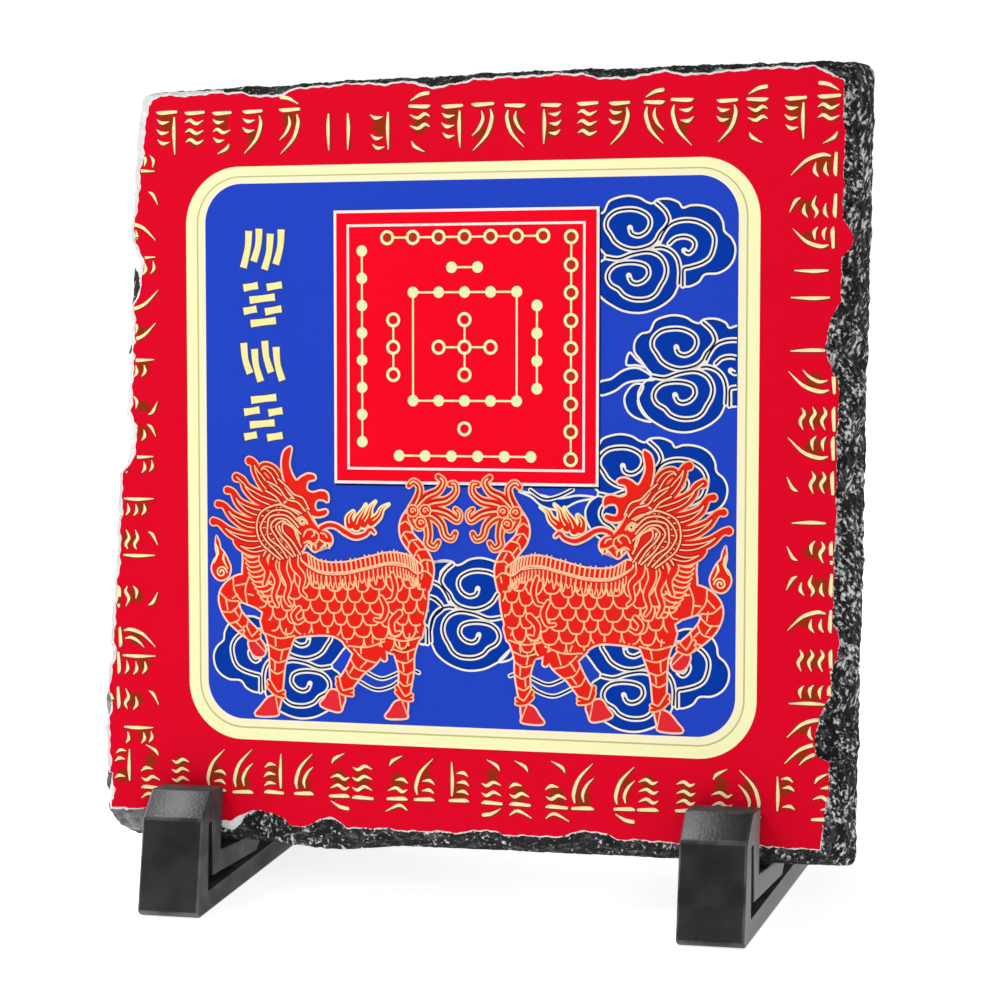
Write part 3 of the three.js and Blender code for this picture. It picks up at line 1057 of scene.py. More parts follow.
# Each run of the chart: dots, or dark or plain rings, the first place, the step and the count. Places
# and steps are in pitches.
CHART_RUNS = [
    ("dark ring", (-3, 4), (1, 0), 7),
    ("dot", (-0.5, 2.9), (1, 0), 2),
    ("dot", (-2, 2), (1, 0), 5),
    ("dot", (-2, -1.95), (1, 0), 5),
    ("dot", (-4, 3.53), (0, -1), 8),
    ("dark ring", (4.06, 3.95), (0, -1), 9),
    ("ring", (-2.77, 1), (0, -1), 3),
    ("dot", (2.77, 1.5), (0, -1), 4),
    ("ring", (0, -2.97), (0, -1), 1),
    ("dot", (-2.55, -3.97), (1.02, 0), 6),
    ("ring", (-1, 0), (1, 0), 3),
    ("ring", (0, 1), (0, -2), 2),
]


class PLAQUE_OT_number_chart(bpy.types.Operator):
    """Print the red chart with its ruled edges and its rows of dots and rings"""

    bl_idname = "plaque.number_chart"
    bl_label = "Number Chart"

    def execute(self, context):
        press = Press()
        marks, rules, ground, middles, shadow = Ink(), Ink(), Ink(), Ink(), Ink()
        middle_x, middle_y = CHART_MIDDLE

        def square(inset):
            across, up = CHART_HALF_WIDTH - inset, CHART_HALF_HEIGHT - inset
            corners = [(-1, -1), (1, -1), (1, 1), (-1, 1)]
            return [(middle_x + a * across, middle_y + b * up) for a, b in corners]

        def place(column, row):
            return middle_x + column * CHART_PITCH, middle_y + row * CHART_PITCH

        def rule(inset, width, layer):
            rules.between(square(inset), square(inset + width), layer)

        rule(0, CHART_RULE, LAYER_CHART_EDGE)
        rule(CHART_LINE_AT, CHART_INNER_RULE, LAYER_CHART_MARK)
        ground.area(square(CHART_RULE * 0.9), LAYER_CHART)
        drop = [(x + CHART_SHADOW[0], y + CHART_SHADOW[1]) for x, y in square(-0.02)]
        shadow.area(drop, LAYER_CHART_EDGE - 0.5)

        links = [((-2, 2), (-2, -1.95)), ((2, 2), (2, -1.95))]
        for kind, first, step, count in CHART_RUNS:
            spots = [(first[0] + step[0] * i, first[1] + step[1] * i) for i in range(count)]
            links += list(zip(spots, spots[1:]))
            for spot in spots:
                if kind == "dot":
                    marks.dot(*place(*spot), DOT_RADIUS, LAYER_CHART_MARK, 24)
                else:
                    marks.ring(*place(*spot), RING_RADIUS, RING_WIDTH, LAYER_CHART_FILL + 1)
                    middle = middles if kind == "dark ring" else ground
                    middle.dot(*place(*spot), RING_RADIUS - RING_MIDDLE_INSET, LAYER_CHART_FILL, 24)
        for start, end in links:
            line = [place(*start), place(*end)]
            marks.stroke(line, LINK_WIDTH, LAYER_CHART_LINK, round_ends=False)
        settings = press.settings
        press.lay(ground, "chart_ground", "chart red ink", settings.chart_red, 0.04)
        press.lay(shadow, "chart_shadow", "navy ink", settings.line_navy, 0.02)
        press.lay(middles, "chart_ring_middles", "rust ink", settings.ring_fill, 0.1)
        press.lay(rules, "chart_rules", "pale rule ink", settings.line_pale, 0.02)
        press.lay(marks, "chart_marks", "pale lime ink", settings.dot, 0.02)
        return {"FINISHED"}


# One bank of cloud, drawn once: its outline, its curling bands and its rings.
CLOUD_OUTLINE = [
    (28.0, 46.8), (29.0, 48.7), (30.8, 49.5), (32.9, 49.8), (35.0, 49.4), (36.4, 48.6),
    (37.6, 48.3), (38.6, 49.0), (40.8, 49.1), (42.7, 48.4), (43.5, 47.4), (45.0, 47.8),
    (46.9, 47.8), (48.8, 47.3), (50.4, 46.2), (51.3, 44.6), (51.6, 42.9), (52.9, 41.7),
    (53.7, 40.0), (53.5, 37.9), (52.4, 36.2), (50.4, 35.1), (47.9, 34.9), (46.7, 33.5),
    (45.0, 32.7), (43.6, 32.7), (42.9, 33.1), (41.7, 30.8), (39.2, 28.9), (35.8, 27.8),
    (32.5, 28.0), (29.9, 29.1), (27.6, 30.7), (26.1, 33.0), (25.8, 35.1), (26.8, 37.0),
    (28.5, 38.3), (27.4, 39.8), (26.2, 41.4), (25.0, 43.0), (25.1, 44.9), (26.3, 46.3),
]
CLOUD_BANDS = [
    [
        (33.2, 43.8), (33.6, 42.7), (35.0, 42.3), (36.5, 43.1), (37.2, 44.6), (36.7, 46.0),
        (35.0, 47.0), (32.9, 47.3), (30.4, 46.9), (28.8, 45.6), (28.5, 44.0), (29.4, 42.5),
        (30.4, 41.1), (32.1, 40.1), (34.2, 39.7), (36.7, 40.2), (38.2, 41.2), (39.0, 42.6),
        (40.2, 43.9), (40.8, 45.1), (40.4, 46.4), (39.6, 47.4), (38.4, 48.4),
    ],
    [
        (33.0, 34.8), (33.5, 33.7), (34.6, 33.3), (36.0, 33.8), (36.9, 35.0), (36.6, 36.4),
        (35.2, 37.1), (32.9, 37.3), (30.6, 36.9), (29.2, 35.8), (28.8, 34.4), (29.5, 33.1),
        (31.0, 32.2), (32.2, 31.0), (34.2, 30.3), (36.7, 30.4), (38.3, 31.3), (39.3, 32.9),
        (40.1, 34.3), (40.4, 35.9), (39.9, 37.5), (38.7, 38.7), (36.7, 39.3), (33.8, 38.9),
        (31.0, 38.0), (28.6, 38.3),
    ],
    [
        (43.8, 39.4), (44.7, 38.9), (45.6, 39.6), (45.9, 40.7), (45.2, 41.6), (43.8, 42.0),
        (42.1, 41.7), (40.9, 40.7),
    ],
    [
        (38.7, 40.6), (39.6, 42.5), (40.8, 44.1), (42.5, 44.9), (44.6, 45.1), (46.7, 44.7),
        (48.7, 43.5), (49.7, 41.7), (49.5, 39.6), (48.7, 37.9), (47.1, 36.9), (45.0, 36.3),
        (43.7, 35.9), (43.6, 34.2), (43.6, 32.8),
    ],
    [(37.4, 39.8), (39.2, 40.1), (41.2, 39.4), (42.5, 37.9), (43.0, 35.8), (42.9, 33.2)],
]
# Each bank's place: how far right and up, and whether it is turned over.
CLOUD_BANKS = [
    (0, 0, False),
    (9.2, -22.5, False),
    (-1.2, -45.0, False),
    (36.0, -69.2, True),
    (-0.6, -79.9, False),
    (0.6, -79.9, True),
]
CLOUD_WISPS = [
    [(13.5, -6.1), (16.2, -7.7), (19.0, -7.3), (22.0, -5.9)],
    [(21.5, -41.8), (17.6, -43.6), (14.6, -42.8), (12.0, -41.4), (9.4, -42.2)],
    [(22.5, -44.0), (18.6, -45.8), (15.4, -45.2), (13.4, -43.8)],
    [(-21.5, -41.8), (-17.6, -43.6), (-14.6, -42.8), (-12.0, -41.4), (-9.4, -42.2)],
    [(-22.5, -44.0), (-18.6, -45.8), (-15.4, -45.2), (-13.4, -43.8)],
    [(-7.0, -27.2), (-5.6, -28.0), (-4.4, -29.4), (-6.2, -31.2), (-7.0, -34.0)],
]
# The pointed leaves of cloud that trail from a bank, each a closed shape.
CLOUD_LEAVES = [
    [
        (27.3, 14.6), (29.6, 15.3), (32.0, 16.9), (34.6, 17.4), (36.8, 16.4), (38.2, 15.2),
        (35.4, 15.0), (32.6, 14.5), (30.2, 12.9), (27.3, 12.2),
    ],
    [
        (34.0, 14.2), (32.3, 11.9), (32.8, 9.4), (34.6, 7.9), (37.6, 7.2), (35.9, 8.8),
        (34.9, 11.2), (36.0, 14.0),
    ],
    [(33.2, 20.3), (32.6, 18.0), (34.6, 17.9), (36.4, 17.5), (34.6, 19.0)],
    [
        (11.0, -6.3), (13.6, -7.4), (16.0, -9.2), (19.5, -9.8), (23.0, -8.2), (26.6, -7.4),
        (23.2, -7.0), (19.2, -7.6), (15.4, -7.0),
    ],
    [(-7.2, -20.8), (-5.4, -20.3), (-3.0, -20.4), (-4.8, -22.2), (-5.2, -24.2), (-7.6, -24.4)],
    [(-9.4, -36.2), (-7.8, -36.4), (-7.8, -33.6), (-9.0, -33.4)],
    [(10.2, -36.6), (8.0, -38.4), (7.2, -39.6), (9.8, -38.8)],
]
BAND_WIDTH = 1.12
BAND_CORE = 0.36
WISP_SHARE = 0.85
OUTLINE_WIDTH = 0.42
# The thin dark line inside a bank's outline.
INNER_LINE_AT = 0.28
INNER_LINE_WIDTH = 0.22


class PLAQUE_OT_clouds(bpy.types.Operator):
    """Print the banks of scrolled cloud on the panel"""

    bl_idname = "plaque.clouds"
    bl_label = "Clouds"

    def execute(self, context):
        press = Press()
        fill, lines, cores = Ink(), Ink(), Ink()
        right = FRAME_HALF_WIDTH - FRAME_WIDTH
        low = -FRAME_HALF_HEIGHT + FRAME_WIDTH

        def on_panel(x, y):
            return -right < x < right and y > low

        def trace(ink, outline, width, layer):
            ink.stroke(outline, width, layer, closed=True, round_ends=False, keep=on_panel)

        for across, up, flip in CLOUD_BANKS:
            outline = smooth(moved(CLOUD_OUTLINE, across, up, flip), 5, closed=True)
            fill.area([(max(min(x, right), -right), max(y, low)) for x, y in outline], LAYER_CLOUD)
            trace(lines, outline, OUTLINE_WIDTH, LAYER_CLOUD_BAND)
            trace(cores, grown(outline, -INNER_LINE_AT), INNER_LINE_WIDTH, LAYER_CLOUD_BAND - 0.6)
            for knots in CLOUD_BANDS:
                band = smooth(moved(knots, across, up, flip), 6)
                lines.stroke(band, BAND_WIDTH, LAYER_CLOUD_BAND, keep=on_panel)
                cores.stroke(band[3:], BAND_CORE, LAYER_CLOUD_CORE, keep=on_panel)
        for knots in CLOUD_LEAVES:
            leaf = smooth(knots, 4, closed=True)
            fill.area(leaf, LAYER_CLOUD)
            trace(lines, leaf, OUTLINE_WIDTH, LAYER_CLOUD_BAND)
        for knots in CLOUD_WISPS:
            wisp = smooth(knots, 6)
            lines.stroke(wisp, BAND_WIDTH * WISP_SHARE, LAYER_CLOUD_BAND, keep=on_panel)
            cores.stroke(wisp, BAND_CORE, LAYER_CLOUD_CORE, keep=on_panel)
        settings = press.settings
        press.lay(fill, "cloud_fill", "cloud blue ink", settings.cloud_blue, 0.22)
        press.lay(cores, "cloud_shadows", "navy shadow ink", settings.line_navy, 0.05)
        press.lay(lines, "cloud_lines", "pale line ink", settings.line_pale, 0.12)
        return {"FINISHED"}


# The beast on the left, in the print's millimetres. The one on the right is its mirror image.
# A limb is a run of (across, up, width); a shape is a closed run of (across, up).
TORSO = [
    (-46.3, -17.5), (-46.5, -21.0), (-46.6, -24.2), (-45.6, -28.4), (-43.6, -30.3),
    (-41.7, -31.8), (-40.9, -34.6), (-38.4, -36.6), (-34.2, -35.7), (-29.0, -35.3),
    (-26.2, -35.9), (-22.8, -38.2), (-18.2, -37.6), (-14.0, -38.6), (-10.4, -36.6),
    (-8.7, -33.0), (-7.6, -28.6), (-7.7, -25.0), (-9.3, -22.1), (-12.0, -20.4),
    (-15.5, -20.0), (-20.0, -20.9), (-25.0, -22.0), (-30.0, -22.0), (-33.2, -20.2),
    (-35.4, -17.0), (-38.0, -14.0), (-43.0, -14.0),
]
TAIL = [
    (-8.6, -25.0, 3.4), (-7.9, -21.5, 3.0), (-9.4, -18.4, 2.9), (-11.7, -15.6, 2.5),
    (-12.1, -13.0, 2.1), (-11.0, -10.8, 1.8),
]
RAISED_LEG = [
    (-43.0, -27.0, 6.6), (-47.0, -26.6, 5.4), (-49.6, -28.3, 4.3), (-49.0, -31.4, 3.6),
    (-46.6, -34.0, 3.0), (-44.8, -35.4, 2.6),
]
FORELEG = [(-38.6, -33.0, 8.4), (-38.8, -37.4, 4.9), (-39.3, -41.5, 3.1), (-39.5, -46.0, 2.5)]
BENT_LEG = [(-20.8, -34.5, 9.8), (-20.3, -38.4, 6.2), (-22.4, -41.6, 3.6), (-24.8, -45.0, 3.0)]
HIND_LEG = [(-12.6, -33.0, 8.8), (-12.4, -38.2, 4.3), (-12.0, -42.0, 2.9), (-12.5, -46.0, 2.4)]
HOCKS = [
    [(-19.4, -37.6, 3.2), (-17.4, -38.4, 2.2), (-16.6, -39.6, 0.9)],
    [(-13.6, -36.4, 3.0), (-16.2, -36.2, 2.0), (-17.8, -35.0, 0.9)],
]
HOOVES = [
    [(-45.4, -37.1), (-43.6, -36.3), (-42.0, -38.2), (-42.3, -39.8), (-43.9, -40.0), (-45.0, -38.9)],
    [(-41.1, -48.2), (-38.7, -47.9), (-39.1, -50.4), (-39.6, -51.7), (-44.0, -51.8), (-43.0, -50.2)],
    [(-27.7, -46.2), (-25.1, -47.4), (-25.4, -49.2), (-26.3, -50.5), (-30.0, -49.4), (-29.2, -48.0)],
    [(-14.1, -48.1), (-11.9, -47.9), (-11.9, -50.2), (-12.1, -51.2), (-16.2, -51.3), (-15.4, -49.8)],
]
CUFFS = [
    [(-46.2, -35.5), (-44.9, -36.6), (-43.2, -35.2)],
    [(-41.2, -46.0), (-39.6, -47.4), (-38.0, -47.0)],
    [(-26.5, -44.9), (-25.6, -46.6), (-23.4, -46.2)],
    [(-14.0, -46.2), (-12.5, -47.4), (-10.9, -46.7)],
]
BACK_LINE = [
    (-33.2, -20.4), (-30.0, -22.0), (-25.0, -22.1), (-20.0, -21.0), (-15.5, -20.0),
    (-12.0, -20.4), (-9.6, -22.0),
]
MANE = [
    [(-39.5, -17.4, 2.6), (-44.0, -18.8, 2.5), (-46.8, -18.2, 1.8), (-48.0, -17.2, 1.4)],
    [
        (-40.0, -16.0, 3.0), (-45.0, -16.6, 2.8), (-49.0, -15.5, 2.1), (-51.6, -13.6, 1.3),
        (-52.9, -13.3, 1.7),
    ],
    [
        (-40.0, -13.6, 3.2), (-45.0, -13.8, 2.9), (-48.6, -12.2, 2.1), (-50.6, -10.1, 1.3),
        (-51.9, -9.8, 1.5),
    ],
    [
        (-39.5, -11.6, 3.2), (-44.0, -11.2, 2.9), (-47.2, -9.6, 2.1), (-48.7, -7.4, 1.3),
        (-49.9, -7.0, 1.5),
    ],
    [
        (-39.0, -9.7, 3.2), (-43.0, -8.4, 2.9), (-45.6, -6.6, 2.1), (-46.6, -4.9, 1.4),
        (-47.9, -4.4, 1.8),
    ],
    [
        (-38.5, -8.4, 3.4), (-41.5, -5.9, 3.0), (-43.4, -3.4, 2.3), (-44.2, -1.6, 1.6),
        (-45.1, -1.1, 1.7),
    ],
    [
        (-37.0, -8.0, 3.2), (-38.6, -5.6, 3.0), (-40.2, -3.2, 2.7), (-42.0, -2.4, 2.1),
        (-43.0, -3.6, 1.3),
    ],
    [(-40.8, -18.0, 1.9), (-42.3, -20.4, 1.7), (-41.3, -23.0, 1.2), (-42.0, -25.6, 0.7)],
    [
        (-39.2, -18.6, 1.9), (-40.4, -21.6, 1.6), (-39.2, -24.8, 1.1), (-40.0, -27.8, 0.9),
        (-39.2, -29.8, 0.7),
    ],
    [
        (-37.4, -19.0, 1.9), (-38.0, -22.4, 1.5), (-36.8, -25.6, 1.1), (-37.4, -28.2, 0.8),
        (-36.6, -29.6, 0.6),
    ],
    [
        (-35.6, -19.0, 1.9), (-35.5, -21.8, 1.5), (-33.8, -24.0, 1.1), (-34.2, -26.6, 0.8),
        (-33.2, -27.8, 0.6),
    ],
]
# The first locks of the tuft are red, and the rest are orange.
RED_TUFT_LOCKS = 4
TUFT_COILS = [(-10.6, -10.5), (-8.0, -10.4), (-8.9, -12.8)]
TUFT = [
    [(-10.8, -10.4, 2.2), (-9.4, -7.8, 1.9), (-9.2, -5.8, 1.5), (-10.4, -4.8, 1.3), (-11.4, -5.6, 1.1)],
    [(-10.2, -10.2, 2.2), (-7.8, -7.8, 2.0), (-5.4, -6.6, 1.7), (-4.3, -4.8, 1.4), (-5.3, -3.8, 1.2)],
    [
        (-9.8, -10.4, 2.2), (-6.6, -9.0, 2.0), (-3.6, -8.4, 1.8), (-1.8, -6.8, 1.5),
        (-1.9, -5.2, 1.3), (-2.9, -5.2, 1.1),
    ],
    [
        (-9.6, -10.8, 2.2), (-6.5, -10.3, 2.0), (-3.6, -10.9, 1.8), (-1.4, -12.2, 1.5),
        (-0.9, -10.8, 1.2), (-1.8, -10.0, 1.0),
    ],
    [
        (-9.8, -11.2, 2.0), (-6.7, -11.4, 1.9), (-4.7, -13.0, 1.7), (-3.9, -15.2, 1.5),
        (-2.5, -15.8, 1.4), (-1.8, -14.7, 1.2),
    ],
    [
        (-10.0, -11.6, 2.0), (-7.9, -12.4, 1.9), (-7.3, -15.0, 1.7), (-7.5, -16.8, 1.6),
        (-6.2, -17.6, 1.4), (-5.3, -16.5, 1.2),
    ],
    [(-10.6, -11.8, 2.0), (-9.5, -13.6, 1.6), (-8.4, -13.2, 1.3), (-8.7, -12.3, 1.0)],
]
HEAD = [
    (-38.9, -12.4), (-37.4, -9.4), (-35.0, -8.6), (-33.2, -10.2), (-31.9, -11.9), (-30.9, -13.6),
    (-29.9, -14.6), (-28.7, -14.9), (-27.7, -15.8), (-27.6, -17.0), (-28.4, -17.9), (-29.4, -17.5),
    (-30.2, -18.3), (-31.2, -18.8), (-32.2, -18.0), (-33.0, -17.4), (-33.9, -18.8), (-35.2, -19.4),
    (-37.4, -16.8),
]
ANTLER = [
    (-36.9, -6.4), (-37.8, -4.0), (-38.1, -1.4), (-37.7, 0.6), (-36.8, 1.5), (-36.1, 1.5),
    (-36.5, -0.6), (-36.5, -2.4), (-35.2, -4.9), (-33.9, -4.2), (-32.5, -3.6), (-31.2, -3.9),
    (-31.2, -4.6), (-32.6, -5.0), (-32.9, -6.6), (-31.6, -7.3), (-29.8, -6.9), (-28.5, -7.4),
    (-28.4, -9.0), (-29.2, -8.6), (-30.6, -8.6), (-31.2, -9.8), (-30.6, -10.9), (-28.8, -10.6),
    (-28.6, -11.3), (-30.0, -11.9), (-32.0, -11.6), (-34.8, -9.2),
]
WHISKER = [
    (-30.2, -14.4, 0.8), (-28.4, -13.6, 0.8), (-26.6, -13.8, 0.8), (-24.6, -15.0, 0.9),
    (-22.6, -15.8, 0.8), (-20.6, -15.3, 0.7), (-19.5, -14.3, 0.6), (-18.6, -14.9, 0.4),
]
WHISKER_FLAME = [
    [(-23.7, -13.4, 1.7), (-23.9, -12.1, 1.2), (-23.1, -10.9, 0.4)],
    [(-22.4, -13.7, 1.7), (-21.9, -12.2, 1.3), (-20.9, -10.6, 0.6), (-20.4, -9.4, 0.1)],
    [(-20.9, -13.2, 1.6), (-19.9, -11.6, 1.2), (-19.4, -10.0, 0.6), (-18.4, -8.8, 0.1)],
    [(-19.3, -12.9, 1.5), (-17.8, -11.7, 1.1), (-17.0, -10.2, 0.6), (-15.6, -9.3, 0.1)],
]
SIDE_FLAME = [
    (-51.4, -25.2), (-52.8, -24.5), (-53.6, -22.8), (-53.1, -21.0), (-52.4, -20.0), (-52.7, -18.4),
    (-52.4, -16.0), (-51.6, -17.2), (-51.3, -18.5), (-50.5, -19.4), (-49.7, -20.9), (-49.1, -22.6),
    (-49.7, -24.4),
]
# Curled tufts at the shoulder, the hip and the hock.
CURLS = [
    [(-14.9, -23.0, 0.9), (-14.2, -25.6, 1.1), (-14.8, -27.8, 0.9), (-16.0, -28.2, 0.7)],
    [(-17.2, -27.6, 0.9), (-16.2, -29.8, 1.2), (-17.0, -32.0, 0.9), (-18.5, -32.0, 0.7)],
    [(-13.4, -30.6, 1.4), (-15.0, -32.4, 1.3), (-14.6, -34.6, 1.0), (-13.4, -34.4, 0.7)],
    [(-34.6, -30.2, 1.0), (-35.8, -31.6, 1.1), (-35.0, -33.0, 0.9), (-33.6, -32.4, 0.7)],
]
# Wavy strands over the brow.
BROW_STRANDS = [
    [(-41.2, -5.2), (-38.8, -6.4), (-37.0, -8.6), (-34.8, -9.2), (-33.2, -10.9)],
    [(-41.6, -7.0), (-39.4, -8.2), (-37.8, -10.0), (-35.6, -10.6), (-34.0, -11.4)],
    [(-38.9, -4.6), (-37.0, -6.2), (-35.6, -7.6), (-33.6, -8.4), (-32.4, -10.6)],
]
# Folds of hair lie nested round the cheek, from this small one to the large one.
CHEEK_FOLD = [
    (-34.2, -19.6), (-36.0, -17.1), (-37.6, -15.2), (-38.3, -13.9), (-37.3, -13.4), (-35.9, -14.4),
    (-34.9, -16.0), (-34.1, -18.0),
]
NECK_FOLD = [
    (-38.8, -20.6), (-40.6, -19.0), (-42.8, -17.2), (-43.6, -14.4), (-42.6, -11.4), (-40.0, -9.9),
    (-37.4, -9.9), (-34.8, -11.6),
]
# The lines of the face: how far over the head's layer, the width, and the knots.
FACE_LINES = [
    (1.5, 0.3, [(-32.9, -10.4), (-31.5, -12.8), (-30.3, -14.2)]),
    (2.1, 0.34, [(-33.6, -15.9), (-33.0, -14.8), (-31.9, -14.5), (-31.2, -15.3), (-31.8, -16.0)]),
    (2.1, 0.34, [(-29.8, -15.2), (-29.0, -15.4), (-28.6, -16.0)]),
    (2.1, 0.34, [(-33.4, -17.2), (-32.4, -16.8), (-31.4, -17.4), (-30.6, -16.9)]),
    (2.1, 0.36, [(-27.8, -17.2), (-29.0, -17.1), (-30.3, -16.5), (-31.2, -17.3), (-32.6, -17.2)]),
    (2.1, 0.3, [(-31.4, -14.6), (-30.4, -15.4), (-30.3, -16.4)]),
    (2.6, 0.42, [(-34.9, -12.5), (-34.0, -12.1), (-33.1, -12.7), (-32.7, -13.4)]),
]
EYE = (-33.8, -12.95)
# Each tooth: its place, and how far it hangs.
TEETH = [(-28.1, -17.4, 1.1), (-29.0, -17.3, 0.9), (-31.0, -17.5, 1.1), (-31.9, -17.5, 1.0)]
FOLDS = 6
NECK_RINGS = 12
RIM_WIDTH = 0.4
# How far a fill lies over its rim, in layers.
FILL_LIFT = 0.75
SCALE_LINE = 0.32
SCALE_WIDTH = 3.2
SCALE_PITCH = 2.35
SCALE_ROWS = 8
SCALE_COLUMNS = 13
# The scales of the body stop here, at the rings of the neck.
NECK_AT = 43.0


def within(outline, x, y):
    """Whether a place lies inside a closed outline."""
    hit = False
    for (ax, ay), (bx, by) in zip(outline, outline[1:] + outline[:1]):
        if (ay > y) != (by > y) and x < ax + (bx - ax) * (y - ay) / (by - ay):
            hit = not hit
    return hit


def across_limb(limb, place, bulge):
    """A short curve across a limb at a place along it, bowed towards its end."""
    x, y, width = limb[place]
    along = heading(limb[max(place - 1, 0)], limb[min(place + 1, len(limb) - 1)])
    half = width / 2
    return [
        (x - along[1] * half, y + along[0] * half),
        (x + along[0] * bulge, y + along[1] * bulge),
        (x + along[1] * half, y - along[0] * half),
    ]


def offset_line(limb, share):
    """A line that runs along a limb, at a share of its half width to one side."""
    line = []
    for i, (x, y, width) in enumerate(limb):
        right, up = heading(limb[max(i - 1, 0)], limb[min(i + 1, len(limb) - 1)])
        line.append((x - up * share * width / 2, y + right * share * width / 2))
    return line


# Paler tongues inside the flame at the beast's side.
FLAME_TONGUES = [
    [(-52.4, -17.8), (-52.0, -19.6), (-52.9, -21.6)],
    [(-50.6, -19.4), (-50.9, -20.8), (-49.9, -22.6)],
]


class Beast:
    """The inks of one beast. Each group of its parts has a rim, a fill and lines."""

    def __init__(self, inks, flip):
        self.inks = inks
        self.flip = flip

    def turned(self, knots):
        return mirrored(knots) if self.flip else list(knots)

    def curve(self, knots, steps, closed=False):
        return smooth(self.turned(knots), steps, closed)

    def limb(self, knots, layer, rim="rim"):
        line = self.curve(knots, 8)
        spine, widths = spine_and_widths(line)
        self.inks[rim].stroke(spine, [w + 2 * RIM_WIDTH for w in widths], layer)
        self.inks["coat"].stroke(spine, widths, layer + FILL_LIFT)
        return line

    def shape(self, knots, layer, ink="coat", steps=6):
        outline = self.curve(knots, steps, closed=True)
        self.inks["rim"].area(grown(outline, RIM_WIDTH), layer)
        self.inks[ink].area(outline, layer + FILL_LIFT)
        return outline

    def edged(self, line, ink, layer, rim, inset, lift=0.5):
        """A band of one ink over a wider band of the pale line's ink."""
        spine, widths = spine_and_widths(line)
        self.inks["line"].stroke(spine, [w + rim for w in widths], layer)
        self.inks[ink].stroke(spine, [w - inset for w in widths], layer + lift)

    def strand(self, knots, steps, width, layer):
        """A dark strand of hair with a pale line along its middle."""
        curve = self.curve(knots, steps)
        self.inks["mane"].stroke(curve, width, layer)
        self.inks["line"].stroke(curve, 0.34, layer + 0.6)

    def line(self, knots, layer, width=SCALE_LINE, ink="line", steps=5, keep=None):
        self.inks[ink].stroke(smooth(knots, steps), width, layer, keep=keep)

    def bands(self, limb, layer, spacing):
        """Scales on a leg or the tail: bowed lines across it, with short joints between them."""
        travelled, count, last = 0, 0, 2
        for i in range(1, len(limb)):
            travelled += math.dist(limb[i][:2], limb[i - 1][:2])
            if travelled > spacing and 3 < i < len(limb) - 3:
                travelled = 0
                count += 1
                near, middle, far = across_limb(limb, i, 0.7)
                self.line([near, middle, far], layer)
                joint = offset_line(limb, 0.35 if count % 2 else -0.35)
                if limb[i][2] > 2.2:
                    self.line([joint[last + 1], joint[i]], layer, steps=1)
                last = i

    def draw(self):
        base = LAYER_BEAST
        torso = self.shape(TORSO, base)
        tail = self.limb(TAIL, base)
        legs = [self.limb(leg, base) for leg in (RAISED_LEG, FORELEG, BENT_LEG, HIND_LEG)]
        for knots in HOCKS:
            self.limb(knots, base)
        for knots in HOOVES:
            hoof = self.shape(knots, base, ink="hoof", steps=4)
            self.line([hoof[2], hoof[len(hoof) // 2 - 2]], base + 1.5, 0.26)
        self.scales(torso, base + 1.5)
        for leg in legs:
            self.bands(leg, base + 1.5, 2.1)
        self.bands(tail, base + 1.5, 1.9)
        for knots in CUFFS:
            self.cuff(knots, base + 1.5)
        self.ridge(base)
        self.neck(base + 1.5)
        for knots in CURLS:
            self.edged(self.curve(knots, 6), "coat", base + 2.2, 0.3, 0.3, 0.6)
        for i, knots in enumerate(TUFT):
            self.tuft_lock(knots, base + 1.6, "coat" if i < RED_TUFT_LOCKS else "tuft")
        for knot in TUFT_COILS:
            self.coil(self.turned([knot])[0], base + 3.7)
        for knots in MANE:
            self.lock(knots, base + 2.3)
        self.head(base + 4.0)

    def neck(self, layer):
        """Rings down the front of the neck."""
        for i in range(NECK_RINGS):
            x, y = -45.3 + 0.03 * i * i, -17.8 - 0.98 * i
            band = [(x - 1.2, y + 0.3), (x - 0.2, y - 0.5), (x + 1.5, y - 0.3), (x + 2.8, y + 0.6)]
            self.line(self.turned(band), layer, 0.34)

    def scales(self, torso, layer):
        """Overlapping scales over the body, in rows that follow the back."""
        shrunk = grown(torso, -0.2)
        if self.flip:
            shrunk = mirrored(shrunk)

        def keep(x, y):
            return abs(x) < NECK_AT and within(shrunk, -x if self.flip else x, y)

        def tip(row, column):
            x = -46.5 + SCALE_WIDTH * (column + 0.5 * (row % 2))
            x += 0.36 * math.sin(12.9 * row + 7.7 * column)
            sag = 1.2 * math.sin((x + 44) / 40 * math.pi)
            return x, -25.2 - SCALE_PITCH * row - sag + 0.24 * math.sin(7 * row + 3 * column)

        for row in range(SCALE_ROWS):
            for column in range(SCALE_COLUMNS):
                x, y = tip(row, column)
                left = tip(row - 1, column - 1 + row % 2)
                right = tip(row - 1, column + row % 2)
                arc = [left]
                for share, drop in ((0.06, 0.5), (0.45, 0.93)):
                    arc.append((left[0] + (x - left[0]) * share, left[1] + (y - left[1]) * drop))
                arc.append((x, y))
                for share, drop in ((0.45, 0.93), (0.06, 0.5)):
                    arc.append((right[0] + (x - right[0]) * share, right[1] + (y - right[1]) * drop))
                self.line(self.turned([*arc, right]), layer, keep=keep)

    def cuff(self, knots, layer):
        """The wrapped ankle: two crossing bands with knotted ends."""
        crossing = [(x, y + 1.0 - 0.9 * i) for i, (x, y) in enumerate(knots)]
        for line in (knots, crossing):
            curve = self.curve(line, 6)
            self.inks["line"].stroke(curve, 1.2, layer)
            self.inks["coat"].stroke(curve, 0.55, layer + 0.55)

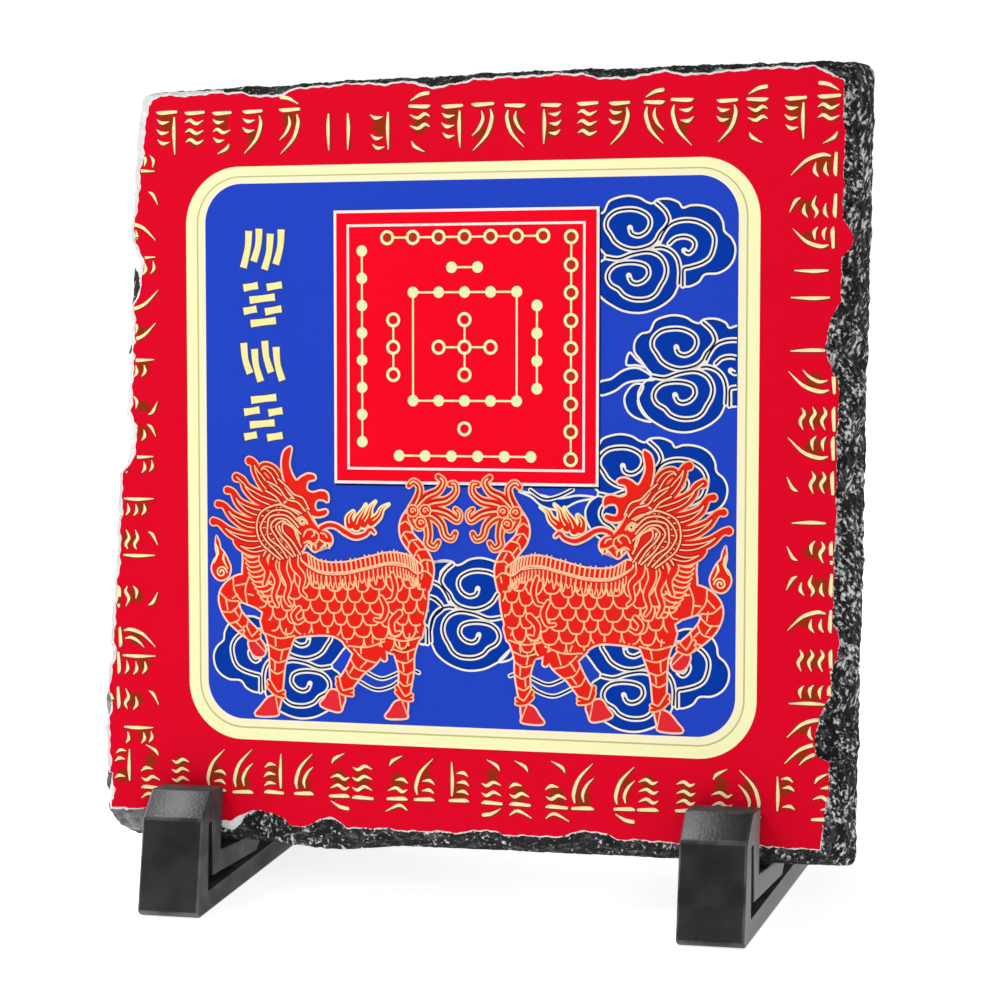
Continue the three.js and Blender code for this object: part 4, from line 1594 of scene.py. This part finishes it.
    def ridge(self, layer):
        """The row of short bristles along the back, and the pleats that hang under it."""
        back = self.curve([(x, y + 0.3) for x, y in BACK_LINE], 10)
        self.inks["rim"].stroke(back, 2.4, layer + 1.0)
        self.inks["coat"].stroke(back, 1.7, layer + 1.6)
        back = smooth(BACK_LINE, 10)
        travelled = 0
        for before, after in zip(back, back[1:]):
            travelled += math.dist(before, after)
            if travelled < 0.6:
                continue
            travelled = 0
            x, y = after
            top = y + 1.55 + 0.2 * math.sin(x * 2.1)
            self.line(self.turned([(x + 0.15, y - 0.8), (x, y + 0.4), (x - 0.2, top)]), layer + 2.2, 0.34)
            drop = 4.0 + 0.5 * math.sin(x * 3.3)
            pleat = [(x - 0.3, y - 1.6), (x - 0.2, y - 2.8), (x + 0.3, y - drop), (x + 0.55, y - 2.8)]
            self.line(self.turned(pleat), layer + 1.6, 0.26)
        line = [(x, y - 1.1) for x, y in BACK_LINE[:-1]]
        self.line(self.turned(line), layer + 2.8, 0.28)

    def lock(self, knots, layer):
        """A lock of hair: a rim, a fill, and two drawn lines that meet as it narrows."""
        line = self.curve(knots, 7)
        self.edged(line, "coat", layer, 0.4, 0.2)
        body = [knot for knot in line if knot[2] > 1.7]
        for side in (-1, 1):
            shares = [side * 0.36 * min(1, (width - 1.7) / 0.9) for _, _, width in body]
            strand = [offset_line(body, share)[i] for i, share in enumerate(shares)]
            self.inks["mane"].stroke(strand, 0.78, layer + 1.0)
            self.inks["line"].stroke(strand, 0.26, layer + 1.55)

    def tuft_lock(self, knots, layer, ink):
        """A lock of the tail's tuft, with a pale line and its shade along the middle."""
        line = self.curve(knots, 7)
        self.edged(line, ink, layer, 0.3, 0.3)
        side = -0.3 if self.flip else 0.3
        self.inks["mane"].stroke(offset_line(line, side)[2:-3], 0.36, layer + 1.0)
        self.inks["line"].stroke(offset_line(line, -side / 6)[2:-3], 0.38, layer + 1.55)

    def coil(self, place, layer):
        """A small coiled lock at the root of the tuft."""
        self.inks["line"].dot(*place, 1.3, layer)
        self.inks["coat"].dot(*place, 1.02, layer + 0.5)
        self.inks["line"].stroke(spiral(*place, 0.62, self.flip, 13), 0.3, layer + 1.05)

    def head(self, layer):
        self.limb(WHISKER, layer)
        self.shape(ANTLER, layer, steps=3)
        self.shape(HEAD, layer + 0.1)
        for k in range(FOLDS):
            share = k / (FOLDS - 1)
            fold = [
                (a + (c - a) * share + 0.25 * math.sin(9 * j + 4 * k), b + (d - b) * share)
                for j, ((a, b), (c, d)) in enumerate(zip(CHEEK_FOLD, NECK_FOLD))
            ]
            self.strand(fold, 6, 0.85, layer + 1.5)
        for knots in BROW_STRANDS:
            self.strand(knots, 5, 0.8, layer + 1.5)
        for lift, width, knots in FACE_LINES:
            self.line(self.turned(knots), layer + lift, width)
        eye_x, eye_y = self.turned([EYE])[0]
        self.inks["line"].ring(eye_x, eye_y, 0.85, 0.3, layer + 2.1)
        self.inks["flame_edge"].dot(eye_x, eye_y, 0.5, layer + 2.6)
        self.inks["mane"].dot(eye_x, eye_y, 0.26, layer + 3.2)
        for x, y, drop in TEETH:
            tooth = [(x - 0.3, y), (x + 0.3, y), (x + 0.1, y - drop)]
            self.inks["flame_edge"].area(self.turned(tooth), layer + 2.6)


def spiral(x, y, radius, flip, points=22):
    """A line that coils inwards, the other way round on a mirrored beast."""
    line = []
    for i in range(points):
        turn = i * math.radians(26)
        reach = radius * (1 - i / (points + 4))
        line.append((x + reach * math.cos(turn) * (-1 if flip else 1), y + reach * math.sin(turn)))
    return line


def flame(beast, knots, layer, curl_at, curl):
    """A flame: a yellow edge, a red body and a curl at its root."""
    outline = beast.curve(knots, 4, closed=True)
    beast.inks["rim"].area(grown(outline, 0.1), layer)
    beast.inks["coat"].area(grown(outline, -0.26), layer + FILL_LIFT)
    curl_line = spiral(*beast.turned([curl_at])[0], curl, beast.flip)
    beast.inks["flame_edge"].stroke(curl_line, 0.3, layer + 1.5)
    for knots in FLAME_TONGUES:
        beast.line(beast.turned(knots), layer + 1.5, [0.2, 0.4, 0.5, 0.3, 0.2], ink="flame_edge", steps=2)


class PLAQUE_OT_beasts(bpy.types.Operator):
    """Print the pair of scaled beasts, with their flames"""

    bl_idname = "plaque.beasts"
    bl_label = "Beasts"

    def execute(self, context):
        press = Press()
        inks = {name: Ink() for name in ("rim", "coat", "hoof", "line", "mane", "tuft", "flame_edge")}
        for flip in (False, True):
            beast = Beast(inks, flip)
            beast.draw()
            flame(beast, SIDE_FLAME, LAYER_BEAST, (-51.3, -23.4), 1.2)
            for tongue in WHISKER_FLAME:
                drawn = beast.limb(tongue, LAYER_BEAST, rim="flame_edge")
                beast.line(offset_line(drawn, 0.1)[3:], LAYER_BEAST + 1.6, 0.24, ink="flame_edge", steps=1)
        settings = press.settings
        tints = {
            "rim": settings.rim,
            "coat": settings.beast_red,
            "hoof": linear_colour("#e62a36"),
            "line": settings.peach,
            "mane": settings.mane_red,
            "tuft": settings.tuft,
            "flame_edge": settings.flame,
        }
        for name, ink in inks.items():
            press.lay(ink, "beast_" + name, "beast " + name + " ink", tints[name], 0.1)
        return {"FINISHED"}


# Loose brush dashes for the border, as (across, up, width) round the middle of a group.
DASHES = {
    "cap": [(-2.0, 3.6, 0.3), (-1.1, 3.45, 0.75), (1.9, 3.6, 0.55)],
    "over": [(-1.7, 5.9, 0.7), (-0.1, 5.6, 0.65), (1.7, 4.6, 0.15)],
    "tick": [(-2.0, 5.6, 0.2), (-0.4, 4.75, 0.6), (2.3, 6.0, 0.15)],
    "fall": [(1.5, 2.5, 0.35), (1.4, -0.4, 0.68), (1.55, -4.2, 0.2)],
    "sweep": [(1.5, 2.5, 0.3), (1.7, 0.9, 0.7), (0.7, -1.9, 0.6), (-1.8, -4.6, 0.12)],
    "half_sweep": [(-0.2, 2.3, 0.2), (0.0, 0.9, 0.62), (-0.8, -0.8, 0.5), (-2.0, -2.0, 0.12)],
    "grain_1": [(-2.0, 2.2, 0.15), (-1.0, 1.6, 0.66), (0.4, 1.8, 0.15)],
    "grain_2": [(-2.1, 0.4, 0.15), (-1.1, -0.3, 0.66), (0.3, -0.1, 0.15)],
    "grain_3": [(-1.9, -1.5, 0.15), (-0.9, -2.2, 0.66), (0.4, -2.0, 0.15)],
    "grain_4": [(-1.6, -3.3, 0.15), (-0.6, -4.0, 0.6), (0.7, -3.8, 0.15)],
    "wave_1": [(-2.0, 1.7, 0.15), (-1.0, 2.1, 0.62), (0.3, 1.4, 0.62), (1.8, 2.0, 0.15)],
    "wave_2": [(-2.0, -0.2, 0.15), (-1.0, 0.2, 0.62), (0.3, -0.5, 0.62), (1.8, 0.0, 0.15)],
    "wave_3": [(-1.9, -2.1, 0.15), (-0.9, -1.7, 0.62), (0.4, -2.4, 0.62), (1.8, -1.9, 0.15)],
    "tail": [(1.5, -2.9, 0.2), (0.9, -3.8, 0.6), (-1.0, -4.8, 0.12)],
}
# Groups of loose dashes that never meet, drawn in no script.
DASH_GROUPS = [
    ("cap", "sweep", "grain_1", "grain_2"),
    ("cap", "fall", "grain_1", "grain_2", "grain_3"),
    ("cap", "wave_1", "wave_2", "wave_3"),
    ("over", "cap", "sweep", "half_sweep"),
    ("cap", "half_sweep", "sweep"),
    ("fall",),
    ("tick", "cap", "wave_1", "grain_2", "tail"),
    ("cap", "grain_1", "wave_2", "grain_3", "tail"),
    ("over", "cap", "wave_1", "wave_2", "tail"),
    ("grain_1", "fall", "grain_3", "grain_4"),
]
# The brown between the dashes of a group.
DASH_PATCHES = [
    [(-1.3, 2.9), (1.2, 2.9), (1.2, 0.6), (-0.1, -0.2), (-1.4, 0.9)],
    [(-1.4, 1.3), (1.1, 1.2), (1.0, -1.2), (-0.3, -1.7), (-1.5, -0.6)],
    [(-1.0, -0.6), (1.2, -0.8), (0.9, -2.8), (-0.4, -3.4), (-1.2, -1.9)],
]
SHADE_DROP = (0.2, -0.18)
SHADE_WIDER = 0.16
# Each row: the first and last group's middle, the count and the turn of its groups.
DASH_ROWS = [
    ((-63.4, 64.0), (71.2, 63.8), 21, 0),
    ((71.0, -63.6), (-73.0, -63.8), 23, 180),
    ((69.0, 54.0), (69.0, -56.0), 18, -90),
    ((-70.6, -56.0), (-69.4, 57.0), 18, 90),
]


class PLAQUE_OT_border_strokes(bpy.types.Operator):
    """Print the rows of loose brush dashes in the border, each with its brown shade"""

    bl_idname = "plaque.border_strokes"
    bl_label = "Border Strokes"

    def execute(self, context):
        press = Press()
        gold, shade = Ink(), Ink()
        chance = random.Random(23)

        def inked(x, y):
            return press.inside(*press.on_face(x, y))

        for first, last, count, angle in DASH_ROWS:
            turn = math.radians(angle)
            for i in range(count):
                share = (i + 0.16 * chance.uniform(-1, 1)) / (count - 1)
                x = first[0] + (last[0] - first[0]) * share
                y = first[1] + (last[1] - first[1]) * share
                flip = -1 if chance.random() < 0.4 else 1
                size = 0.92 + 0.16 * chance.random()

                def place(knot):
                    a, b = flip * knot[0] * size, knot[1] * size
                    right = a * math.cos(turn) - b * math.sin(turn)
                    return (x + right, y + a * math.sin(turn) + b * math.cos(turn), *knot[2:])

                group = chance.choice(DASH_GROUPS)
                for kind in group:
                    spine, widths = spine_and_widths(smooth([place(knot) for knot in DASHES[kind]], 10))
                    gold.stroke(spine, widths, LAYER_STROKE, keep=inked)
                    under = [(px + SHADE_DROP[0], py + SHADE_DROP[1]) for px, py in spine]
                    shade.stroke(under, [w + SHADE_WIDER for w in widths], LAYER_SHADE, keep=inked)
                patch = [place(knot) for knot in chance.choice(DASH_PATCHES)]
                if len(group) > 2 and all(inked(*spot) for spot in patch):
                    shade.area(patch, LAYER_SHADE)
        settings = press.settings
        press.lay(shade, "border_stroke_shade", "brown shade ink", settings.gold_shade, 0.3)
        press.lay(gold, "border_strokes", "pale gold ink", settings.gold, 0.12)
        return {"FINISHED"}


MARK_X = -42.1
MARK_YS = [40.6, 30.0, 18.6, 7.6]
MARK_WIDTH = 1.5
# A bar is this share of its width at its middle. Its dark edge stands out this far all round.
MARK_WAIST = 0.86
MARK_EDGE = 0.12
# Each mark is a plain bundle of loose brush bars, and is no sign of any script.
MARKS = [
    [
        [(-2.9, 3.6), (-3.1, 0.4), (-4.1, -3.6)],
        [(-0.7, 4.0), (-0.9, 0.8), (-1.9, -2.4)],
        [(1.7, 3.0), (1.4, -0.6), (0.4, -4.0)],
        [(4.0, 3.8), (3.8, 0.4), (2.8, -3.0)],
    ],
    [
        [(-4.1, 3.0), (-1.0, 3.5)],
        [(0.9, 3.1), (4.1, 3.6)],
        [(-2.8, 0.6), (2.6, 1.2)],
        [(-4.1, -1.6), (-1.3, -1.1)],
        [(0.5, -1.7), (4.0, -1.1)],
        [(-2.6, -4.0), (2.8, -3.4)],
    ],
    [
        [(-4.1, 3.6), (-3.8, 0.4), (-2.8, -2.4)],
        [(-1.8, 2.4), (-1.5, -0.8), (-0.5, -4.0)],
        [(0.4, 4.0), (0.7, 0.8), (1.7, -2.2)],
        [(2.8, 2.8), (3.1, -0.6), (4.1, -3.8)],
    ],
    [
        [(-2.6, 3.3), (2.8, 3.9)],
        [(-4.1, 0.9), (-0.8, 1.4)],
        [(1.1, 0.8), (4.1, 1.3)],
        [(-2.9, -1.6), (2.4, -1.1)],
        [(-4.1, -4.0), (-1.4, -3.5)],
        [(0.8, -4.1), (4.1, -3.6)],
    ],
]


class PLAQUE_OT_mark_column(bpy.types.Operator):
    """Print the four bold marks at the left of the panel"""

    bl_idname = "plaque.mark_column"
    bl_label = "Mark Column"

    def execute(self, context):
        press = Press()
        ink, edge = Ink(), Ink()
        for y, strokes in zip(MARK_YS, MARKS):
            for knots in strokes:
                placed = [(MARK_X + a, y + b) for a, b in smooth(knots, 8)]
                from_middle = [abs(2 * i / len(placed) - 1) for i in range(len(placed))]
                widths = [MARK_WIDTH * (MARK_WAIST + (1 - MARK_WAIST) * share) for share in from_middle]
                ink.stroke(placed, widths, LAYER_CLOUD + FILL_LIFT, round_ends=False)
                rim = lengthened(placed, MARK_EDGE)
                edge.stroke(rim, [w + 2 * MARK_EDGE for w in widths], LAYER_CLOUD, round_ends=False)
        settings = press.settings
        press.lay(edge, "column_mark_edges", "umber edge ink", settings.mark_edge, 0.1)
        press.lay(ink, "column_marks", "mark yellow ink", settings.mark_yellow, 0.12)
        return {"FINISHED"}


# The side view of a foot, in millimetres behind its front and above the table.
FOOT_CHAMFER = 0.9
POST_FACE_HEIGHT = 18.3
POST_FACE_SETBACK = 6.2
POST_TOP_FRONT = (11.2, 22.7)
POST_TOP_REAR_HEIGHT = 22
LEDGE_TILT = math.radians(8)
LEDGE_FRONT = 13.3
LEDGE_END = 27.2
WALL_HEIGHT = 40
WALL_TOP_THICKNESS = 4.2
TAIL_HEIGHT = 2.4
GAP = 0.3
WEB_THICKNESS = 2.4
RIM = 4
GROOVE_TOP = 16.8
GROOVE_FRONT_TOP = 8.6
GROOVE_FRONT_FOOT = 5.7
GROOVE_REAR_TOP = 10.3
LEDGE_UNDERSIDE_FRONT = (8.5, 6.4)
LEDGE_UNDERSIDE_REAR = (29, 4.9)
WALL_REAR_FOOT = (31.2, 6.6)
POCKET_TOP = 32
POCKET_TOP_WIDTH = 0.6
# A face whose normal is nearer than this to an axis counts as square to it.
SQUARE_TO_AXIS = 0.95


def foot_profile(slab, length):
    """The leaning post, the notch that holds the slab, its wall and the tail."""
    clearance = GAP / math.cos(slab.lean)
    back_edge_y = slab.front + slab.thickness * math.cos(slab.lean)
    back_edge_z = slab.bottom - slab.thickness * math.sin(slab.lean)

    def ledge(y):
        return back_edge_z - GAP + (back_edge_y - y) * math.tan(LEDGE_TILT)

    corner_z = ledge(LEDGE_FRONT)
    wall_top = slab.plane_at_height(WALL_HEIGHT, slab.thickness) + clearance
    chamfer_setback = POST_FACE_SETBACK * FOOT_CHAMFER / POST_FACE_HEIGHT
    return [
        (FOOT_CHAMFER + chamfer_setback, 0),
        (length, 0),
        (length, TAIL_HEIGHT),
        (wall_top + WALL_TOP_THICKNESS, WALL_HEIGHT),
        (wall_top, WALL_HEIGHT),
        (LEDGE_END, ledge(LEDGE_END)),
        (slab.plane_at_height(corner_z, 0) - clearance, corner_z),
        (slab.plane_at_height(POST_TOP_REAR_HEIGHT, 0) - clearance, POST_TOP_REAR_HEIGHT),
        POST_TOP_FRONT,
        (POST_FACE_SETBACK, POST_FACE_HEIGHT),
        (chamfer_setback, FOOT_CHAMFER),
    ]


def pocket_profile(profile):
    """The groove behind the post's face, the strip under the ledge and the rear triangle."""
    tail, top = Vector(profile[2]), Vector(profile[3])
    along = (top - tail).normalized()
    inner_tail = tail + Vector((-along.y, along.x)) * RIM

    def on_rim(z):
        return inner_tail.x + along.x * (z - inner_tail.y) / along.y

    wall_lean = (profile[4][0] - profile[5][0]) / (profile[4][1] - profile[5][1])
    behind_wall = WALL_REAR_FOOT[0] + (POCKET_TOP - WALL_REAR_FOOT[1]) * wall_lean
    return [
        (GROOVE_FRONT_FOOT, RIM),
        (on_rim(RIM), RIM),
        (max(on_rim(POCKET_TOP), behind_wall + POCKET_TOP_WIDTH), POCKET_TOP),
        (behind_wall, POCKET_TOP),
        WALL_REAR_FOOT,
        LEDGE_UNDERSIDE_REAR,
        LEDGE_UNDERSIDE_FRONT,
        (GROOVE_REAR_TOP, GROOVE_TOP),
        (GROOVE_FRONT_TOP, GROOVE_TOP),
    ]


def side_view_block(name, profile, front, x, width):
    """A block of the given side view, drawn from a filled circle's points and then extruded."""
    bpy.ops.object.select_all(action="DESELECT")
    bpy.ops.mesh.primitive_circle_add(vertices=len(profile), radius=0.01, fill_type="NGON")
    block = bpy.context.object
    block.name = name
    for vertex, (y, z) in zip(block.data.vertices, profile):
        vertex.co = (x * MM, (front + y) * MM, z * MM)
    bpy.ops.object.mode_set(mode="EDIT")
    bpy.ops.mesh.select_all(action="SELECT")
    bpy.ops.mesh.extrude_region_move(TRANSFORM_OT_translate={"value": (width * MM, 0, 0)})
    bpy.ops.mesh.select_all(action="SELECT")
    bpy.ops.mesh.normals_make_consistent(inside=False)
    bpy.ops.object.mode_set(mode="OBJECT")
    return block


class PLAQUE_OT_easel_feet(bpy.types.Operator):
    """Model one moulded foot with its pockets and soft edges, and copy it to both places"""

    bl_idname = "plaque.easel_feet"
    bl_label = "Easel Feet"

    def soften(self, foot, width, least_angle):
        """Rounds the edges that are sharper than an angle in degrees, in the paler edge plastic with its
        painted highlight.
        """
        select_only(foot)
        rounding = foot.modifiers.new("Soft edges", "BEVEL")
        rounding.width = width
        rounding.segments = 3
        rounding.limit_method = "ANGLE"
        rounding.angle_limit = math.radians(least_angle)
        rounding.material = 1
        bpy.ops.object.modifier_apply(modifier=rounding.name)

    def execute(self, context):
        settings = context.scene.plaque_foot
        slab = Slab()
        width, length = settings.width / MM, settings.length / MM
        profile = foot_profile(slab, length)
        foot = side_view_block("left_easel", profile, slab.feet_front, -width / 2, width)
        foot.data.materials.clear()
        # The bevels' paler grey is a painted highlight along the edges as well as wear; the paler sides and
        # the right foot's pale side are painted light.
        plain = moulded_plastic_material("moulded ABS", settings.plastic, settings.abrasion_and_highlight, 0.06, 0.5)
        edges = moulded_plastic_material("ABS edges, abraded and with painted highlight", settings.plastic, settings.abrasion_and_highlight, 0.45, 0.5)
        matt = moulded_plastic_material("matt ABS sides with painted light", settings.side, settings.abrasion_and_highlight, 0.3, 0.1)
        painted_side_highlight = moulded_plastic_material("right ABS side with painted highlight", settings.painted_side_highlight, settings.abrasion_and_highlight, 0.1, 0.1)
        for plastic in (plain, edges, matt):
            foot.data.materials.append(plastic)
        self.soften(foot, settings.edge, 25)
        depth = (width - WEB_THICKNESS) / 2
        pocket = pocket_profile(profile)
        for x in (-width / 2 - 1, width / 2 - depth):
            cutter = side_view_block("pocket_cutter", pocket, slab.feet_front, x, depth + 1)
            select_only(foot)
            cut = foot.modifiers.new("Pocket", "BOOLEAN")
            cut.object = cutter
            cut.operation = "DIFFERENCE"
            cut.solver = "EXACT"
            bpy.ops.object.modifier_apply(modifier=cut.name)
            bpy.data.objects.remove(cutter, do_unlink=True)
        self.soften(foot, settings.edge / 4, 50)
        # Faces turned to the side or up take the paler matt plastic: painted light on them.
        for face in foot.data.polygons:
            if abs(face.normal.x) > SQUARE_TO_AXIS or face.normal.z > SQUARE_TO_AXIS:
                face.material_index = 2
        bpy.ops.object.shade_smooth_by_angle(angle=math.radians(35))
        other = foot.copy()
        other.data = foot.data.copy()
        other.name = "right_easel"
        other.data.materials.append(painted_side_highlight)
        # The right foot's faces turned to the right take that pale grey: a painted highlight.
        for face in other.data.polygons:
            if face.normal.x > SQUARE_TO_AXIS:
                face.material_index = 3
        context.scene.collection.objects.link(other)
        pairs = ((foot, settings.left_x, "left_foot"), (other, settings.right_x, "right_foot"))
        for piece, x, node in pairs:
            piece.data.transform(Matrix.Translation((x, 0, 0)))
            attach(piece, "root")
            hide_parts(node)
        return {"FINISHED"}


# Where the camera stands for the photograph's view, and how it is turned.
CAMERA_PLACE = (0.19992, -0.53064, 0.18522)
CAMERA_AZIMUTH = math.radians(20.06)
CAMERA_ELEVATION = math.radians(10.95)
CAMERA_ROLL = math.radians(-3.73)


SENSOR_WIDTH = 36
CLIP_START = 0.02
FLOOR_SIZE = 24
FLOOR_GLOW = 0.78
SKY_STRENGTH = 0.3
# Each light: its name, its place, what it points at, the length of its sides and its power.
LIGHTS = [
    ("key_light", (0.75, -1.25, 0.75), (0, 0, 0.07), 0.9, 3.0),
    ("left_light", (-1.1, 0.14, 0.4), (0, 0, 0.07), 0.6, 6.5),
    ("rim_light", (0.5, 0.8, 0.22), (0.05, 0, 0.02), 0.3, 0.7),
    ("top_light", (-0.445, -0.175, 0.818), (-0.05, -0.02, 0.02), 0.26, 3.8),
]


def soft_light(name, place, target, size, power):
    lamp = bpy.data.lights.new(name, "AREA")
    lamp.shape = "RECTANGLE"
    lamp.size = lamp.size_y = size
    lamp.energy = power
    holder = bpy.data.objects.new(name, lamp)
    bpy.context.scene.collection.objects.link(holder)
    holder.location = place
    holder.rotation_euler = (Vector(target) - Vector(place)).to_track_quat("-Z", "Y").to_euler()


class PLAQUE_OT_stage(bpy.types.Operator):
    """Set the pale floor, the soft lights and the camera at the photograph's view"""

    bl_idname = "plaque.stage"
    bl_label = "Stage"

    def execute(self, context):
        settings = context.scene.plaque_stage
        scene = context.scene
        bpy.ops.object.select_all(action="DESELECT")
        bpy.ops.mesh.primitive_plane_add(size=FLOOR_SIZE, location=(0, 0, 0))
        floor = context.object
        floor.name = "floor"
        floor.data.materials.append(self.floor_material(settings))
        world = scene.world or bpy.data.worlds.new("Studio")
        scene.world = world
        world.use_nodes = True
        sky = world.node_tree.nodes["Background"]
        sky.inputs["Color"].default_value = grey(1.0)
        sky.inputs["Strength"].default_value = SKY_STRENGTH
        for light in LIGHTS:
            soft_light(*light)
        self.add_camera(settings)
        scene.view_settings.view_transform = "Standard"
        return {"FINISHED"}

    def floor_material(self, settings):
        """Lit white acrylic sweep: pale and even, with a faint tooth."""
        material, tree, place = new_material("lit white acrylic")
        tooth = noise_node(tree, place, 500.0, 2.0)
        tone = mix_node(tree, tooth, settings.floor, linear_colour("#f7f7f7"))
        surface = {
            "Base Color": tone,
            "Roughness": 0.9,
            "Specular IOR Level": 0.1,
            "Emission Color": tone,
            "Emission Strength": FLOOR_GLOW,
        }
        finish_material(tree, surface)
        return material

    def add_camera(self, settings):
        azimuth, elevation, roll = CAMERA_AZIMUTH, CAMERA_ELEVATION, CAMERA_ROLL
        level_run = math.cos(elevation)
        ahead = Vector((-math.sin(azimuth) * level_run, math.cos(azimuth) * level_run, -math.sin(elevation)))
        level = Vector((math.cos(azimuth), math.sin(azimuth), 0))
        upright = level.cross(ahead)
        right = level * math.cos(roll) + upright * math.sin(roll)
        up = upright * math.cos(roll) - level * math.sin(roll)
        lens = bpy.data.cameras.new("camera")
        lens.lens = settings.lens
        lens.sensor_width = SENSOR_WIDTH
        lens.clip_start = CLIP_START
        camera = bpy.data.objects.new("camera", lens)
        bpy.context.scene.collection.objects.link(camera)
        turn = Matrix((right, up, -ahead)).transposed()
        camera.matrix_world = Matrix.Translation(CAMERA_PLACE) @ turn.to_4x4()
        bpy.context.scene.camera = camera


OPERATORS = (
    PLAQUE_OT_slate_slab,
    PLAQUE_OT_easel_feet,
    PLAQUE_OT_printed_ground,
    PLAQUE_OT_border_strokes,
    PLAQUE_OT_frame_and_panel,
    PLAQUE_OT_mark_column,
    PLAQUE_OT_clouds,
    PLAQUE_OT_number_chart,
    PLAQUE_OT_beasts,
    PLAQUE_OT_stage,
)
SETTINGS = {
    "plaque_slate": SlateSettings,
    "plaque_foot": FootSettings,
    "plaque_print": PrintSettings,
    "plaque_stage": StageSettings,
}


class PLAQUE_PT_sidebar(bpy.types.Panel):
    """Lists the pieces of the plaque"""

    bl_idname = "PLAQUE_PT_sidebar"
    bl_label = "Plaque"
    bl_space_type = "VIEW_3D"
    bl_region_type = "UI"
    bl_category = "Plaque"

    def draw(self, context):
        for name, group in SETTINGS.items():
            box = self.layout.box()
            for setting in group.__annotations__:
                box.prop(getattr(context.scene, name), setting)
        for operator in OPERATORS:
            self.layout.operator(operator.bl_idname)


def register():
    for name, group in SETTINGS.items():
        bpy.utils.register_class(group)
        setattr(bpy.types.Scene, name, bpy.props.PointerProperty(type=group))
    for made in (*OPERATORS, PLAQUE_PT_sidebar):
        bpy.utils.register_class(made)


def unregister():
    for made in reversed((*OPERATORS, PLAQUE_PT_sidebar)):
        bpy.utils.unregister_class(made)
    for name, group in reversed(SETTINGS.items()):
        delattr(bpy.types.Scene, name)
        bpy.utils.unregister_class(group)


def main():
    register()
    for operator in OPERATORS:
        group, name = operator.bl_idname.split(".")
        getattr(getattr(bpy.ops, group), name)()


if __name__ == "__main__":
    main()
